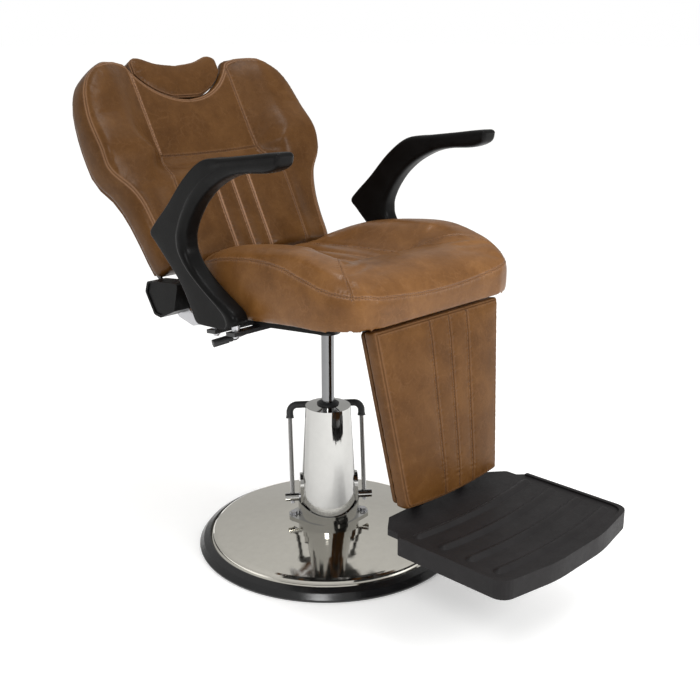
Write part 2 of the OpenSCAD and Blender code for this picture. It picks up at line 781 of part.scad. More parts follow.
module seat_cushion() {
    columns = [-1, -0.985, -0.93, -0.85, -0.75, -0.64, -0.53, -0.46, -0.38, -0.28, -0.19, -0.09, 0,
        0.09, 0.19, 0.28, 0.38, 0.46, 0.53, 0.64, 0.75, 0.85, 0.93, 0.985, 1];
    rows = [seat_front_y, -337, -325, -308, -285, -255, -215, -180, -150, -118, -60, 10, 80, 130, 165,
        195, 217, seat_rear_y];
    color(leather) padded(columns, rows,
        function(s, y)
            let (x = s * seat_half(y))
            [x, y, seat_side(y) + (seat_top(x, y) - seat_side(y)) * crown(seat_edge(x, y), seat_round)],
        function(s, y)
            let (rim = abs(s) == 1 || y == seat_front_y || y == seat_rear_y)
            let (draw = rim ? 0.985 : 0.98)
            [s * seat_half(y) * draw, y, rim ? seat_low(y) : seat_under(y)]);
}

module hinge_plate(side) {
    outline = rounded([[-18, 4, 3], [-36, -34, 14], [-58, -37, 4], [-100, -33, 2], [-118, -31, 2], [-111, -46, 6],
        [-44, -65, 14], [12, -52, 10], [18, -4, 4]]);
    color(steel) mirrored(side) difference() {
        union() {
            translate([0, hinge_y, hinge_z]) plate_x(hinge_plate_x, hinge_plate_x + hinge_plate_h, outline);
            translate([0, hinge_y, hinge_z]) rod_x(hinge_plate_x, hinge_plate_x + hinge_plate_h, 19);
        }
        translate([0, hinge_y, hinge_z]) rod_x(hinge_plate_x - 1, hinge_plate_x + hinge_plate_h + 1, hinge_shaft_r + run_gap);
        translate([0, hinge_y - 78, hinge_z - 47]) rod_x(hinge_plate_x - 1, hinge_plate_x + hinge_plate_h + 1, 5);
    }
}

leg_pin_r = 6;
leg_barrel_r = 9.5;
leg_bracket_x = 100;
leg_bracket_h = 5;

// Two plates under the front cross tube that carry the legrest pin
module leg_brackets() {
    root_low = seat_low(rail_front) + rail_low;
    outline = concat(
        [[rail_front, root_low - seat_gap], [rail_front - cross_w, seat_low(rail_front - cross_w) + rail_low - seat_gap]],
        [for (a = [120:20:320]) [leg_pivot_y + 11 * cos(a), leg_pivot_z + 11 * sin(a)]],
        [[rail_front, root_low - 14]]);
    color(frame_black) for (s = [-1, 1]) mirrored(s) difference() {
        plate_x(leg_bracket_x, leg_bracket_x + leg_bracket_h, outline);
        translate([0, leg_pivot_y, leg_pivot_z]) rod_x(leg_bracket_x - 1, leg_bracket_x + leg_bracket_h + 1, leg_pin_r + run_gap);
    }
}

module leg_pin() {
    end_x = leg_bracket_x + leg_bracket_h;
    color(steel) translate([0, leg_pivot_y, leg_pivot_z]) {
        rod_x(-end_x - 1, end_x + 1, leg_pin_r);
        for (s = [-1, 1]) mirrored(s) rod_x(end_x + seat_gap, end_x + 5, 9);
    }
}

// ---- Armrests ------------------------------------------------------------

arm_bar_h = 8;
arm_bar_y = [-48, 16];
arm_foot_z = [616, 605];

// Height of the bars' top at a place along Y
function arm_bar_top(y) = seat_low(y) + rail_top / cos(seat_pitch);

// Stations along the armrest, each with the outer edge's and the inner edge's Y and Z
arm_keys = [
    [0, [-212, 968, -210, 957]], [0.25, [-207, 973.5, -204, 946]], [0.6, [-196, 974, -189, 938]],
    [1, [-170, 971, -166, 932]], [2, [-110, 962, -108, 926]], [3, [-40, 952, -57, 914]],
    [4, [25, 941, -4, 888]], [5, [85, 900, 38, 855]], [6, [145, 838, 68, 818]],
    [7, [190, 796, 84, 787]], [8, [209, 772, 87, 766]], [9, [190, 753, 82, 741]],
    [10, [150, 717, 56, 710]], [11, [110, 678, 4, 674]], [12, [79, 632, -58, 642]], [12.4, [67, 608, -69, 626]],
    [12.7, [57, 599, -62, 613]]];
arm_steps = [0, 0.12, 0.25, 0.42, 0.6, 0.8, 1, 1.5, 2, 2.5, 3, 3.5, 4, 4.5, 5, 5.5, 6, 6.5, 7, 7.35, 7.7, 8, 8.35, 8.7,
    9, 9.5, 10, 10.5, 11, 11.5, 12, 12.4, 12.7];

// One cross-section: a flat web on the outer side with a raised rib along the inner edge
function arm_section(u) =
    let (k = curve(u, arm_keys))
    let (o = [k[0], k[1]])
    let (run = [k[2], k[3]] - o)
    let (w = norm(run))
    let (dir = run / w)
    let (f = min(1, w / 32))
    let (sag = u > 11 ? 9 * smooth((u - 11) / 1.4) : 0)
    let (slant = 16 * smooth((u - 2) / 2) * smooth((12.7 - u) / 2))
    let (thin = u < 0.3 ? 0.72 + 0.28 * smooth(u / 0.3) : (u > 12.5 ? 0.9 : 1))
    let (h = arm_w / 2)
    let (b = arm_bevel)
    let (side = [[0, h - b], [b * 0.3, h - b * 0.4], [b, h - 2], [max(b + 1, w - 30), h - 3], [max(b + 6, w - 22), h],
        [w - b - 1, h], [w - b * 0.3, h - b * 0.6], [w, h - b - 4]])
    let (ring = concat(side, [for (k = [7:-1:0]) [side[k][0] - (k > 3 ? slant : 0), k == 2 || k == 3 ? -h : -side[k][1]]]))
    [for (p = ring)
        let (d = min(p[0] * f, w))
        let (q = o + dir * d)
        let (s = sag * 4 * (d / w) * (1 - d / w))
        [arm_x + p[1] * thin, q[0], q[1] - s]];

module armrest(side) {
    points = [for (u = arm_steps) each arm_section(u)];
    n = 16;
    last = (len(arm_steps) - 1) * n;
    wall = [for (j = [0:len(arm_steps) - 2]) for (i = [0:n - 1])
        let (a = j * n + i)
        let (b = j * n + (i + 1) % n)
        each [[a, b, a + n], [b, b + n, a + n]]];
    cap = [for (k = [0:6]) each [[k, 15 - k, k + 1], [k + 1, 15 - k, 14 - k]]];
    end = [for (f = cap) [f[0] + last, f[2] + last, f[1] + last]];
    color(plastic) mirrored(side) difference() {
        polyhedron(points = points, faces = concat(wall, cap, end), convexity = 8);
        for (k = [0, 1]) translate([arm_x, arm_bar_y[k], 560]) {
            cylinder(r = 4 + run_gap, h = arm_foot_z[k] + 22 - 560);
            cylinder(r = 9 + run_gap, h = arm_foot_z[k] - 560);
        }
    }
}

module arm_bars() {
    reach = arm_x + 16;
    color(frame_black) for (s = [-1, 1]) mirrored(s) for (y = arm_bar_y) difference() {
        at_seat() translate([rail_out, y - 14, rail_top - arm_bar_h]) cube([reach - rail_out, 28, arm_bar_h]);
        translate([arm_x, y, arm_bar_top(y) - 20]) cylinder(r = 4 + run_gap, h = 40);
    }
}

module arm_spacers() {
    color(steel) for (s = [-1, 1]) for (k = [0, 1]) translate([s * arm_x, arm_bar_y[k], 0]) difference() {
        translate([0, 0, arm_bar_top(arm_bar_y[k]) + 1]) cylinder(r = 9, h = arm_foot_z[k] - run_gap - arm_bar_top(arm_bar_y[k]) - 1);
        translate([0, 0, arm_bar_top(arm_bar_y[k]) - 10]) cylinder(r = 4 + run_gap, h = 60);
    }
}

module arm_bolts() {
    color(steel) for (s = [-1, 1]) for (k = [0, 1]) translate([s * arm_x, arm_bar_y[k], 0]) {
        low = arm_bar_top(arm_bar_y[k]) - arm_bar_h - 1.2;
        translate([0, 0, low]) mirror([0, 0, 1]) hex_head(6.5, 4);
        translate([0, 0, low - 1]) cylinder(r = 4, h = arm_foot_z[k] + 20 - low);
    }
}

// ---- Recline strut and lever ---------------------------------------------

strut_x = -55;
strut_z = hinge_z - arm_len * (1 + cos(arm_start)) / 2;
strut_front_y = 104;
strut_body_end_y = 205;
strut_eye_y = hinge_y + (hinge_z - strut_z) * tan(arm_start);
strut_body_r = 11;
strut_rod_r = 5;

module at_strut() { translate([strut_x, 0, strut_z]) children(); }

// Locking gas spring, held by a bracket on the rear cross tube
module strut_cylinder() {
    hanger_h = 5;
    color(frame_black) difference() {
        union() {
            at_strut() translate([0, strut_front_y, 0]) rotate([-90, 0, 0]) cylinder(r = strut_body_r, h = strut_body_end_y - strut_front_y);
            intersection() {
                translate([strut_x - hanger_h, cross_rear_y + 6, strut_z]) cube([2 * hanger_h, 16, 60]);
                at_seat() translate([-200, 0, rail_top - 11 - 80 - run_gap]) cube([400, 300, 80]);
            }
        }
        at_strut() translate([0, strut_front_y + 10, 0]) rotate([-90, 0, 0]) cylinder(r = strut_rod_r + run_gap, h = 200);
    }
}

// Sliding rod of the gas spring, with its cross pin
module strut_rod() {
    color(chrome) at_strut() {
        translate([0, strut_front_y + 66, 0]) rotate([-90, 0, 0])
            cylinder(r = strut_rod_r, h = strut_eye_y - strut_front_y - 66);
        translate([0, strut_eye_y, 0]) rod_x(-14, 14, strut_rod_r);
    }
}

handle_y = 2;
handle_z = 574;

module handle_bracket() {
    color(frame_black) for (y = [handle_y - 12, handle_y + 8]) difference() {
        translate([-handle_pivot_x - 8, y, handle_z - 7]) cube([handle_pivot_x + 8 - rail_out, 4, 13]);
        translate([-handle_pivot_x, y - 1, handle_z]) rotate([-90, 0, 0]) cylinder(r = 3 + run_gap, h = 6);
    }
}

handle_knee = [-250, 17, 563];
handle_start = [-200, 7, 574];
handle_end = [-300, 37, 553];

module recline_rod() {
    color(frame_black) {
        translate([-handle_pivot_x, handle_y - 14, handle_z]) rotate([-90, 0, 0]) cylinder(r = 3, h = 28);
        translate([-handle_pivot_x, handle_y - 7, handle_z]) rotate([-90, 0, 0]) cylinder(r = 6, h = 14);
        ahead = unit(handle_start - handle_knee);
        down = unit(handle_end - handle_knee);
        bar([-handle_pivot_x - 3, handle_y, handle_z], handle_start + [-0.6, 0, 0], handle_rod_r + 0.2);
        bar(handle_start + ahead, handle_knee - ahead, handle_rod_r - 0.2);
        bar(handle_knee - down * 2, handle_end, handle_rod_r - 1);
    }
}

// Grip in three ribbed stages
module recline_grip() {
    d = handle_end - handle_knee;
    color(rubber) translate(handle_knee) rotate([0, acos(d[2] / norm(d)), atan2(d[1], d[0])]) difference() {
        union() {
            translate([0, 0, 4]) cylinder(r = grip_r * 0.72, h = norm(d));
            translate([0, 0, 6]) cylinder(r = grip_r * 0.86, h = 6);
            translate([0, 0, 15]) cylinder(r = grip_r * 0.9, h = 6);
            translate([0, 0, 24]) cylinder(r = grip_r, h = norm(d) - 20);
        }
        translate([0, 0, -5]) cylinder(r = handle_rod_r - 1 + run_gap, h = norm(d) + 5 + run_gap);
        cylinder(r = handle_rod_r + 0.7, h = handle_rod_r * 2);
    }
}

// ---- Backrest ------------------------------------------------------------

// Half width of the backrest at a height along its face
function back_half(t) = curve(t, [
    [back_low_t, back_waist - 14], [-262, back_waist - 7], [-202, back_waist], [-136, back_waist + 10],
    [-85, back_waist + 26], [-36, back_wide - 6], [20, back_wide], [85, back_wide - 3],
    [151, back_wide - 15], [191, back_wide - 34], [212, back_wide - 55], [230, back_wide - 80],
    [241, back_wide - 102], [back_top_t, back_wide - 122]]);

notch_t = notch_low_t + notch_r;
// Top edge of the backrest at a place across it
function back_top(x) = min(back_top_t, notch_t - sqrt(max(0, notch_r * notch_r - x * x)));

// Depth of the backrest's face: negative is forward
function back_face(x, t) =
    let (seam = t > 0 ? 148 : min(168, 148 - t * 0.3))
    let (side = smooth((abs(x) - seam + 8) / 46))
    let (shoulder = curve(t, [[back_low_t, wing_d - 8], [-180, wing_d - 14], [-100, wing_d - 6], [-40, wing_d + 6],
        [20, wing_d + 18], [100, wing_d + 1], [205, wing_d - 4], [back_top_t, wing_d - 16]]))
    let (lumbar = smooth((-t - 6) / 70) * (wing_d + 6 + t * 0.03))
    let (flute = abs(x) > 1.5 * channel_step || t > -20 ? 0
        : (1 - abs(sin(180 * x / channel_step))) * channel_d * smooth((-t - 20) / 60))
    -(side * shoulder + (1 - side) * lumbar) + flute * (1 - side);

back_round = 21;
function back_edge(x, t) =
    let (from_notch = norm([x, t - notch_t]) - notch_r)
    min(back_half(t) - abs(x), t - back_low_t, back_top_t - t + 0.0, max(0, from_notch));

function back_row(s, r) = let (top = back_top(s * (back_wide - 90))) back_low_t + r * (top - back_low_t);

module back_cushion() {
    columns = [-1, -0.985, -0.945, -0.87, -0.77, -0.66, -0.56, -0.49, -0.4, -0.3, -0.2, -0.1, 0,
        0.1, 0.2, 0.3, 0.4, 0.49, 0.56, 0.66, 0.77, 0.87, 0.945, 0.985, 1];
    rows = [0, 0.012, 0.04, 0.09, 0.17, 0.26, 0.35, 0.44, 0.51, 0.57, 0.64, 0.72, 0.8, 0.87, 0.93, 0.975, 1];
    color(leather) at_back() padded(columns, rows,
        function(s, r)
            let (t = back_row(s, r))
            let (x = s * back_half(t))
            let (rim = abs(s) == 1 || r == 0 || r == 1)
            let (lift = rim ? 0 : crown(back_edge(x, t), back_round))
            let (edge_y = t > 100 && abs(x) < notch_r ? 12 : 0)
            [x, edge_y + (back_face(x, t) - edge_y) * lift, t],
        function(s, r)
            let (t = back_row(s, r))
            [s * back_half(t) * 0.99, back_foam_y, t * 0.99 - 1]);
}

// Outline of the backrest's hard parts, drawn in from the cushion, with its notch just behind the cushion's
function panel_outline(inset) =
    let (low = back_low_t + inset)
    let (top = back_top_t - inset)
    let (steps = 16)
    let (rim = [for (k = [0:steps]) let (t = low + (top - low) * k / steps) [back_half(t) - inset, t]])
    let (r = notch_r + 1)
    let (half = asin((sqrt(r * r - pow(notch_t - top, 2))) / r))
    concat(rim,
        [for (k = [-6:6]) [r * sin(-k * half / 6), notch_t - r * cos(k * half / 6)]],
        [for (k = [steps:-1:0]) [-rim[k][0], rim[k][1]]]);

panel_y = back_foam_y + seat_gap;
panel_rear_y = panel_y + back_panel_h;
head_bar_y = panel_y + 1.2;

// Plate square to the backrest's face, from one depth to the next
module back_plate(y0, y1, outline) {
    translate([0, y1, 0]) rotate([90, 0, 0]) linear_extrude(y1 - y0) polygon(outline);
}

module back_panel() {
    groove = head_bar_w + 2 * seat_gap;
    color(leather) at_back() difference() {
        back_plate(panel_y, panel_rear_y, panel_outline(12));
        translate([-groove / 2, panel_y - 1, -70]) cube([groove, head_bar_y - panel_y + 1 + head_bar_h + seat_gap, 300]);
        for (p = back_bolt_at) for (s = [-1, 1])
            translate([s * p[0], panel_y + 4, p[1]]) rotate([-90, 0, 0]) cylinder(r = 3 + run_gap, h = 40);
    }
}

back_arm_x = hinge_plate_x + hinge_plate_h + 1;
back_arm_h = 6;
flange_y = panel_rear_y + seat_gap;
flange_w = 30;
back_bolt_at = [[back_arm_x - 15, -230], [back_arm_x - 15, -90]];

// Side arm from the hinge up the rear panel, with the flange that is bolted to it
module back_arm(side) {
    hy = hinge_back[0];
    hz = hinge_back[1];
    outline = rounded([[hy - 15, hz + 13, 2], [flange_y, -284, 20], [flange_y, -60, 2], [flange_y + 14, -62, 6],
        [flange_y + 26, -236, 40], [hy + 18, hz - 8, 2]]);
    color(frame_black) at_back() mirrored(side) difference() {
        union() {
            plate_x(back_arm_x, back_arm_x + back_arm_h, outline);
            translate([0, hy, hz]) rod_x(back_arm_x, back_arm_x + back_arm_h, 20);
            translate([back_arm_x - flange_w, flange_y, -250]) cube([flange_w + 1, 5, 185]);
        }
        translate([0, hy, hz]) rod_x(back_arm_x - 1, back_arm_x + back_arm_h + 1, hinge_shaft_r + run_gap);
        for (p = back_bolt_at)
            translate([p[0], flange_y - 1, p[1]]) rotate([-90, 0, 0]) cylinder(r = 3 + run_gap, h = 20);
    }
}

module back_bolts() {
    color(steel) at_back() for (p = back_bolt_at) for (s = [-1, 1]) translate([s * p[0], 0, p[1]]) rotate([-90, 0, 0]) {
        translate([0, 0, panel_y + 4.5]) cylinder(r = 3, h = flange_y + 5 - panel_y - 4.5 + 0.5);
        translate([0, 0, flange_y + 5 + run_gap]) hex_head(5.5, 4);
    }
}

// Through shaft of the recline hinge, with the arms that work the strut and the link
module hinge_shaft() {
    end_x = back_arm_x + back_arm_h;
    color(steel) translate([0, hinge_y, hinge_z]) difference() {
        union() {
            rod_x(-end_x - 4, end_x + 4, hinge_shaft_r);
            for (s = [-1, 1]) mirrored(s) rod_x(end_x + run_gap, end_x + 5, 15);
            rotate([arm_start, 0, 0]) {
                for (x = [strut_x - 7 - lug_h, strut_x + 7]) translate([x, 0, 0]) arm_lug(lug_h, 14);
                translate([link_lug_x, 0, 0]) arm_lug(lug_h, 10);
            }
        }
        rod_x(-end_x - 20, end_x + 20, hinge_shaft_r - 4);
        rotate([arm_start, 0, 0]) {
            slot_half = 3.4;
            for (z = [-slot_half, slot_half])
                translate([0, 0, -arm_len - z]) rod_x(strut_x - 20, strut_x + 20, strut_rod_r + 0.8);
            translate([strut_x - 20, -strut_rod_r - 0.8, -arm_len - slot_half]) cube([40, 2 * strut_rod_r + 1.6, 2 * slot_half]);
            translate([0, 0, -arm_len]) rod_x(link_x - 20, link_x, 4 + run_gap);
        }
    }
}

lug_h = 5;
link_lug_x = link_x - link_r - 0.5 - lug_h;

// Flat arm that hangs from a pivot on X, with a round end
module arm_lug(thick, r) {
    rod_x(0, thick, hinge_shaft_r + 4);
    translate([0, -9.5, -arm_len]) cube([thick, 19, arm_len]);
    translate([0, 0, -arm_len]) rod_x(0, thick, r);
}

cover_outline = [[182, 655, 8], [298, 642, 10], [307, 616, 8], [276, 567, 10], [252, 564, 6], [200, 588, 8]];
cover_in_x = back_arm_x + back_arm_h + seat_gap;
cover_out_x = hinge_plate_x + 61;

// Moulded cap over each end of the recline hinge
module hinge_cover(side) {
    wall = 3;
    rim = 5;
    recess = 3;
    mid = [245, 608];
    drawn = function(d) [for (p = cover_outline)
        let (u = unit([p[0], p[1]] - mid))
        [p[0] - u[0] * d, p[1] - u[1] * d, max(2, p[2] - d / 2)]];
    color(plastic) mirrored(side) {
        difference() {
            plate_x(cover_in_x, cover_out_x, rounded(cover_outline));
            plate_x(cover_in_x - 1, cover_out_x - recess - wall, rounded(drawn(wall * 1.35)));
            plate_x(cover_out_x - recess, cover_out_x + 1, rounded(drawn(rim * 1.35)));
        }
        translate([0, hinge_y, hinge_z]) rod_x(back_arm_x + back_arm_h + 5 + run_gap, cover_out_x - recess - 1, 11);
    }
}

// ---- Headrest ------------------------------------------------------------

guide_t = head_low_t - 60;
head_bar_top_t = head_low_t + 58;
head_bar_low_t = guide_t - head_travel - 60;

function head_top(x) = curve(abs(x), [[0, 240], [60, 248], [head_w - 28, 263], [head_w - 11, 260], [head_w, 249]]);
function head_low(x) = let (r = notch_r - 7)
    max(head_low_t - 6, notch_t - 4 - sqrt(max(0, r * r - x * x)));

// Strap across the groove behind the backrest, with its two screws
module guide_plate() {
    half = head_bar_w / 2 + 22;
    color(steel) at_back() {
        translate([-half, panel_rear_y + run_gap, guide_t - 16]) cube([2 * half, 3, 32]);
        for (s = [-1, 1]) translate([s * (half - 9), panel_rear_y + 3, guide_t]) rotate([-90, 0, 0]) cylinder(r = 4.5, h = 2.4);
    }
}

head_rim = head_half / 2;

module headrest_pad() {
    columns = [-1, -0.985, -0.93, -0.84, -0.7, -0.52, -0.34, -0.17, 0, 0.17, 0.34, 0.52, 0.7, 0.84, 0.93, 0.985, 1];
    rows = [0, 0.04, 0.14, 0.3, 0.5, 0.7, 0.86, 0.96, 1];
    place = function(s, r) let (x = s * head_w) [x, head_low(x) + r * (head_top(x) - head_low(x))];
    swell = function(s, r)
        let (p = place(s, r))
        let (rim = abs(s) == 1 || r == 0 || r == 1)
        let (edge = min(head_w - abs(p[0]), p[1] - head_low(p[0]), head_top(p[0]) - p[1]))
        rim ? head_rim : head_rim + (head_half - head_rim) * crown(edge, 15);
    color(leather) at_back() difference() {
        padded(columns, rows,
            function(s, r) let (p = place(s, r)) [p[0], head_y - swell(s, r), p[1]],
            function(s, r) let (p = place(s, r)) [p[0], head_y + swell(s, r), p[1]]);
        translate([-head_bar_w / 2 - run_gap, head_bar_y - run_gap, guide_t])
            cube([head_bar_w + 2 * run_gap, head_bar_h + 2 * run_gap, head_bar_top_t - guide_t + run_gap]);
    }
}

// Flat bar that slides behind the backrest foam
module headrest_bar() {
    color(chrome) at_back() translate([-head_bar_w / 2, head_bar_y, head_bar_low_t])
        cube([head_bar_w, head_bar_h, head_bar_top_t - head_bar_low_t]);
}

// ---- Link ----------------------------------------------------------------

link_rear = [link_x, hinge_y + eye_dy, hinge_z + eye_dz];
link_front = [link_x, leg_pivot_y + eye_dy, leg_pivot_z + eye_dz];

// Link from the recline arm to the legrest arm, with an eye and a pin at each end
module link_rod() {
    eye_w = 6;
    color(steel) {
        difference() {
            union() {
                bar(link_front, link_rear, link_r);
                for (p = [link_front, link_rear]) translate([0, p[1], p[2]]) rod_x(link_x - 3.5, link_x - 3.5 + eye_w + 1, 9);
            }
        }
        for (p = [link_front, link_rear]) translate([0, p[1], p[2]]) rod_x(link_lug_x - 3, link_x - 3, 4);
    }
}

// ---- Legrest -------------------------------------------------------------

function leg_half(z) = leg_top_w + (leg_top_w - leg_low_w) * z / leg_len;
function leg_bow(x) = leg_bow_h * (1 - pow(x / leg_low_w, 2));

module leg_pad() {
    columns = [-1, -0.985, -0.94, -0.85, -0.68, -0.48, -0.3, -0.2, -0.1, 0, 0.1, 0.2, 0.3, 0.48, 0.68, 0.85, 0.94, 0.985, 1];
    rows = [0, 0.012, 0.04, 0.1, 0.22, 0.4, 0.6, 0.78, 0.9, 0.96, 0.988, 1];
    round = 11;
    groove = 2.5;
    place = function(s, r)
        let (x0 = s * leg_low_w)
        let (z = -r * (leg_len + leg_bow(x0)))
        [s * leg_half(max(z, -leg_len)), z];
    color(leather) at_leg() padded(columns, [for (k = [len(rows) - 1:-1:0]) rows[k]],
        function(s, r)
            let (p = place(s, r))
            let (edge = min(leg_half(p[1]) - abs(p[0]), -p[1], leg_len + leg_bow(s * leg_low_w) + p[1]))
            let (line = abs(abs(s) - 0.2) < 0.01 || s == 0 ? groove : 0)
            [p[0], round * (1 - crown(edge, round)) + line * smooth(edge / 40), p[1]],
        function(s, r) let (p = place(s, r)) [p[0] * 0.995, leg_pad_h, p[1] * 0.99 - 2]);
}

leg_board_y = leg_pad_h + seat_gap;

module leg_board() {
    inset = 3;
    outline = rounded([
        [-leg_top_w + inset, -inset, 8], [-leg_low_w + inset, -leg_len + inset, 14],
        [leg_low_w - inset, -leg_len + inset, 14], [leg_top_w - inset, -inset, 8]]);
    color(leather) at_leg() difference() {
        back_plate(leg_board_y, leg_board_y + leg_board_h, outline);
        for (p = leg_bolt_at) translate([p[0], leg_board_y + 1.2, p[1]]) rotate([-90, 0, 0]) cylinder(r = 3 + run_gap, h = 20);
    }
}

strap_x = 75;
strap_w = 28;
strap_h = 5;
strap_y = leg_board_y + leg_board_h + seat_gap;
foot_tray_z = foot_top_z - foot_h - seat_gap;
tray_h = 5;

// Welded frame behind the legrest: pivot barrel, straps, link arm and the tray under the footplate
module leg_frame() {
    barrel_half = leg_bracket_x - seat_gap;
    tray_front = -560;
    strap_low = (foot_tray_z - tray_h - leg_top_z + strap_y * sin(leg_slant)) / cos(leg_slant) - 3.7;
    tray_rear = -346.5;
    color(frame_black) {
        difference() {
            union() {
                at_leg() {
                    translate([0, leg_pivot_back, -leg_pivot_down]) rod_x(-barrel_half, barrel_half, leg_barrel_r);
                    for (s = [-1, 1]) translate([s * strap_x - strap_w / 2, strap_y, strap_low])
                        cube([strap_w, strap_h, -strap_low - leg_pivot_down]);
                }
                translate([link_lug_x, leg_pivot_y, leg_pivot_z]) rotate([arm_start, 0, 0]) leg_lug();
                for (s = [-1, 1]) translate([s * strap_x - strap_w / 2 + 1, tray_front, foot_tray_z - tray_h])
                    cube([strap_w - 2, tray_rear - tray_front, tray_h]);
                translate([-strap_x, tray_front + 2, foot_tray_z - tray_h + 0.5]) cube([2 * strap_x, 28, tray_h - 1]);
            }
            translate([0, leg_pivot_y, leg_pivot_z]) rod_x(-barrel_half - 1, barrel_half + 1, leg_pin_r + run_gap);
            translate([link_lug_x, leg_pivot_y + eye_dy, leg_pivot_z + eye_dz]) rod_x(-1, lug_h + 1, 4 + run_gap);
            for (p = foot_bolt_at) translate([p[0], p[1], foot_tray_z - 20]) cylinder(r = 3 + run_gap, h = 30);
            for (p = leg_bolt_at) at_leg() translate([p[0], strap_y - 1, p[1]]) rotate([-90, 0, 0]) cylinder(r = 3 + run_gap, h = 20);
        }
    }
}

leg_bolt_at = [[-strap_x, -110], [strap_x, -110], [-strap_x, -330], [strap_x, -330]];

// Screws through the straps into the legrest board
module leg_bolts() {
    color(steel) at_leg() for (p = leg_bolt_at) translate([p[0], strap_y + strap_h, p[1]]) rotate([-90, 0, 0]) {
        translate([0, 0, -strap_h - leg_board_h + 1]) cylinder(r = 3, h = strap_h + leg_board_h);
        translate([0, 0, run_gap]) cylinder(r1 = 6, r2 = 4, h = 3);
    }
}

module foot_bolts() {
    color(steel) for (p = foot_bolt_at) translate([p[0], p[1], foot_tray_z - tray_h - run_gap]) {
        mirror([0, 0, 1]) hex_head(5.5, 4);
        translate([0, 0, -1]) cylinder(r = 3, h = tray_h + 14);
    }
}

foot_bolt_at = [[-strap_x, -400], [strap_x, -400], [-strap_x, -530], [strap_x, -530]];

module leg_lug() {
    rod_x(0, lug_h, leg_barrel_r + 2);
    translate([0, -8, -arm_len]) cube([lug_h, 16, arm_len]);
    translate([0, 0, -arm_len]) rod_x(0, lug_h, 10);
}

// ---- Footplate -----------------------------------------------------------

foot_low_z = foot_top_z - foot_h;
tread_r = 1160;

// Outline of the footplate, drawn in by inset
function foot_outline(inset) =
    let (w = foot_w - inset)
    let (front = foot_front_y + inset)
    let (rear = foot_rear_y - inset)
    rounded([
        [-160 + inset * 0.6, rear, 6], [-202 + inset, rear - 34, 10], [-202 + inset, -402, 4], [-w, -418, 10],
        [-w, front + 26, 30], [-80, front, 330], [80, front, 330], [w, front + 26, 30],
        [w, -418, 10], [202 - inset, -402, 4], [202 - inset, rear - 34, 10], [160 - inset * 0.6, rear, 6]], 5);

module footplate() {
    skin = 4;
    border_h = tread_h;
    color(plastic) difference() {
        union() {
            translate([0, 0, foot_low_z]) linear_extrude(foot_h - border_h) polygon(foot_outline(0));
            for (k = [0:tread_count - 1]) {
                y = -455 - k * 66;
                half = asin(182 / tread_r);
                translate([0, y + tread_r, foot_top_z - border_h - 5]) rotate([0, 0, -90 - half])
                    rotate_extrude(angle = 2 * half, $fn = 360) translate([tread_r, 0]) circle(r = 9, $fn = 24);
            }
            translate([0, 0, foot_low_z]) linear_extrude(foot_h) difference() {
                polygon(foot_outline(0));
                polygon(foot_outline(9));
                translate([-250, -420]) square([500, 100]);
            }
        }
        translate([0, 0, foot_low_z - 1]) linear_extrude(foot_h - border_h - skin - 5 + 1) difference() {
            polygon(foot_outline(foot_wall));
            translate([-250, -430]) square([500, 200]);
            for (p = foot_bolt_at) translate(p) circle(r = 9);
            for (s = [-1, 1]) translate([s * strap_x - 3, -700]) square([6, 400]);
        }
        for (p = foot_bolt_at) translate([p[0], p[1], foot_low_z - 1]) cylinder(r = 3 + run_gap, h = 18);
        for (s = [-1, 1]) translate([s * strap_x - strap_w / 2 - 1, -352, foot_low_z - 1]) cube([strap_w + 2, 40, foot_h + 2]);
        for (s = [-1, 1]) mirrored(s) translate([153, -413, foot_low_z]) rotate([0, -25, 0])
            translate([0, 0, -60]) cube([120, 120, 60]);
    }
}

// ---- The chair -----------------------------------------------------------

base_plate();
base_ring();
base_ballast();
pump_flange();
flange_bolts();
pump_body();
oil_tank();
gland_nut();
column_cover();
wiper_ring();
lever_shaft();
lever_hubs();
lever_bar();
lever_sleeve();
lever_screws();
lever_cam();
pump_plunger();
piston_rod();
piston_head();
piston_seal();
seat_mount();
thrust_washer();
mount_bolts();
seat_frame();
seat_board();
seat_cushion();
hinge_plate(-1);  // hinge_plate_right
hinge_plate(1);  // hinge_plate_left
leg_brackets();
leg_pin();
arm_bars();
arm_spacers();
arm_bolts();
armrest(-1);  // armrest_right
armrest(1);  // armrest_left
strut_cylinder();
strut_rod();
handle_bracket();
recline_rod();
recline_grip();
back_cushion();
back_panel();
back_arm(-1);  // back_arm_right
back_arm(1);  // back_arm_left
back_bolts();
hinge_shaft();
hinge_cover(-1);  // hinge_cover_right
hinge_cover(1);  // hinge_cover_left
guide_plate();
headrest_pad();
headrest_bar();
link_rod();
leg_pad();
leg_board();
leg_frame();
leg_bolts();
foot_bolts();
footplate();
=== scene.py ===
"""Looks of the reclining barber chair, dressed over its CAD frame.

Lengths are in millimetres until they become meshes.
"""
import math

import bmesh
import bpy
import numpy as np
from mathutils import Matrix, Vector
from mathutils.bvhtree import BVHTree
from mathutils.kdtree import KDTree


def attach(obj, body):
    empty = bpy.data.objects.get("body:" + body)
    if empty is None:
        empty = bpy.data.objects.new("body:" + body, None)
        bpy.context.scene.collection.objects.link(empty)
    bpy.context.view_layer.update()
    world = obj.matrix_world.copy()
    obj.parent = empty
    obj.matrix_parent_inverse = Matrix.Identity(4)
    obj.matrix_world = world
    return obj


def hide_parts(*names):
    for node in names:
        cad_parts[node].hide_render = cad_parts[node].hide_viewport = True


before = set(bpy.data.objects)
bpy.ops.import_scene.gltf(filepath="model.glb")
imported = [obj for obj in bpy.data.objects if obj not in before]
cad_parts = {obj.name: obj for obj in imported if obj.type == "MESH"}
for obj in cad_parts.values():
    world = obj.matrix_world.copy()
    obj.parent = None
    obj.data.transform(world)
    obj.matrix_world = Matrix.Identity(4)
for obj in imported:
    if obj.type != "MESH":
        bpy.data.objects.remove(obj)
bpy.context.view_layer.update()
MM = 0.001

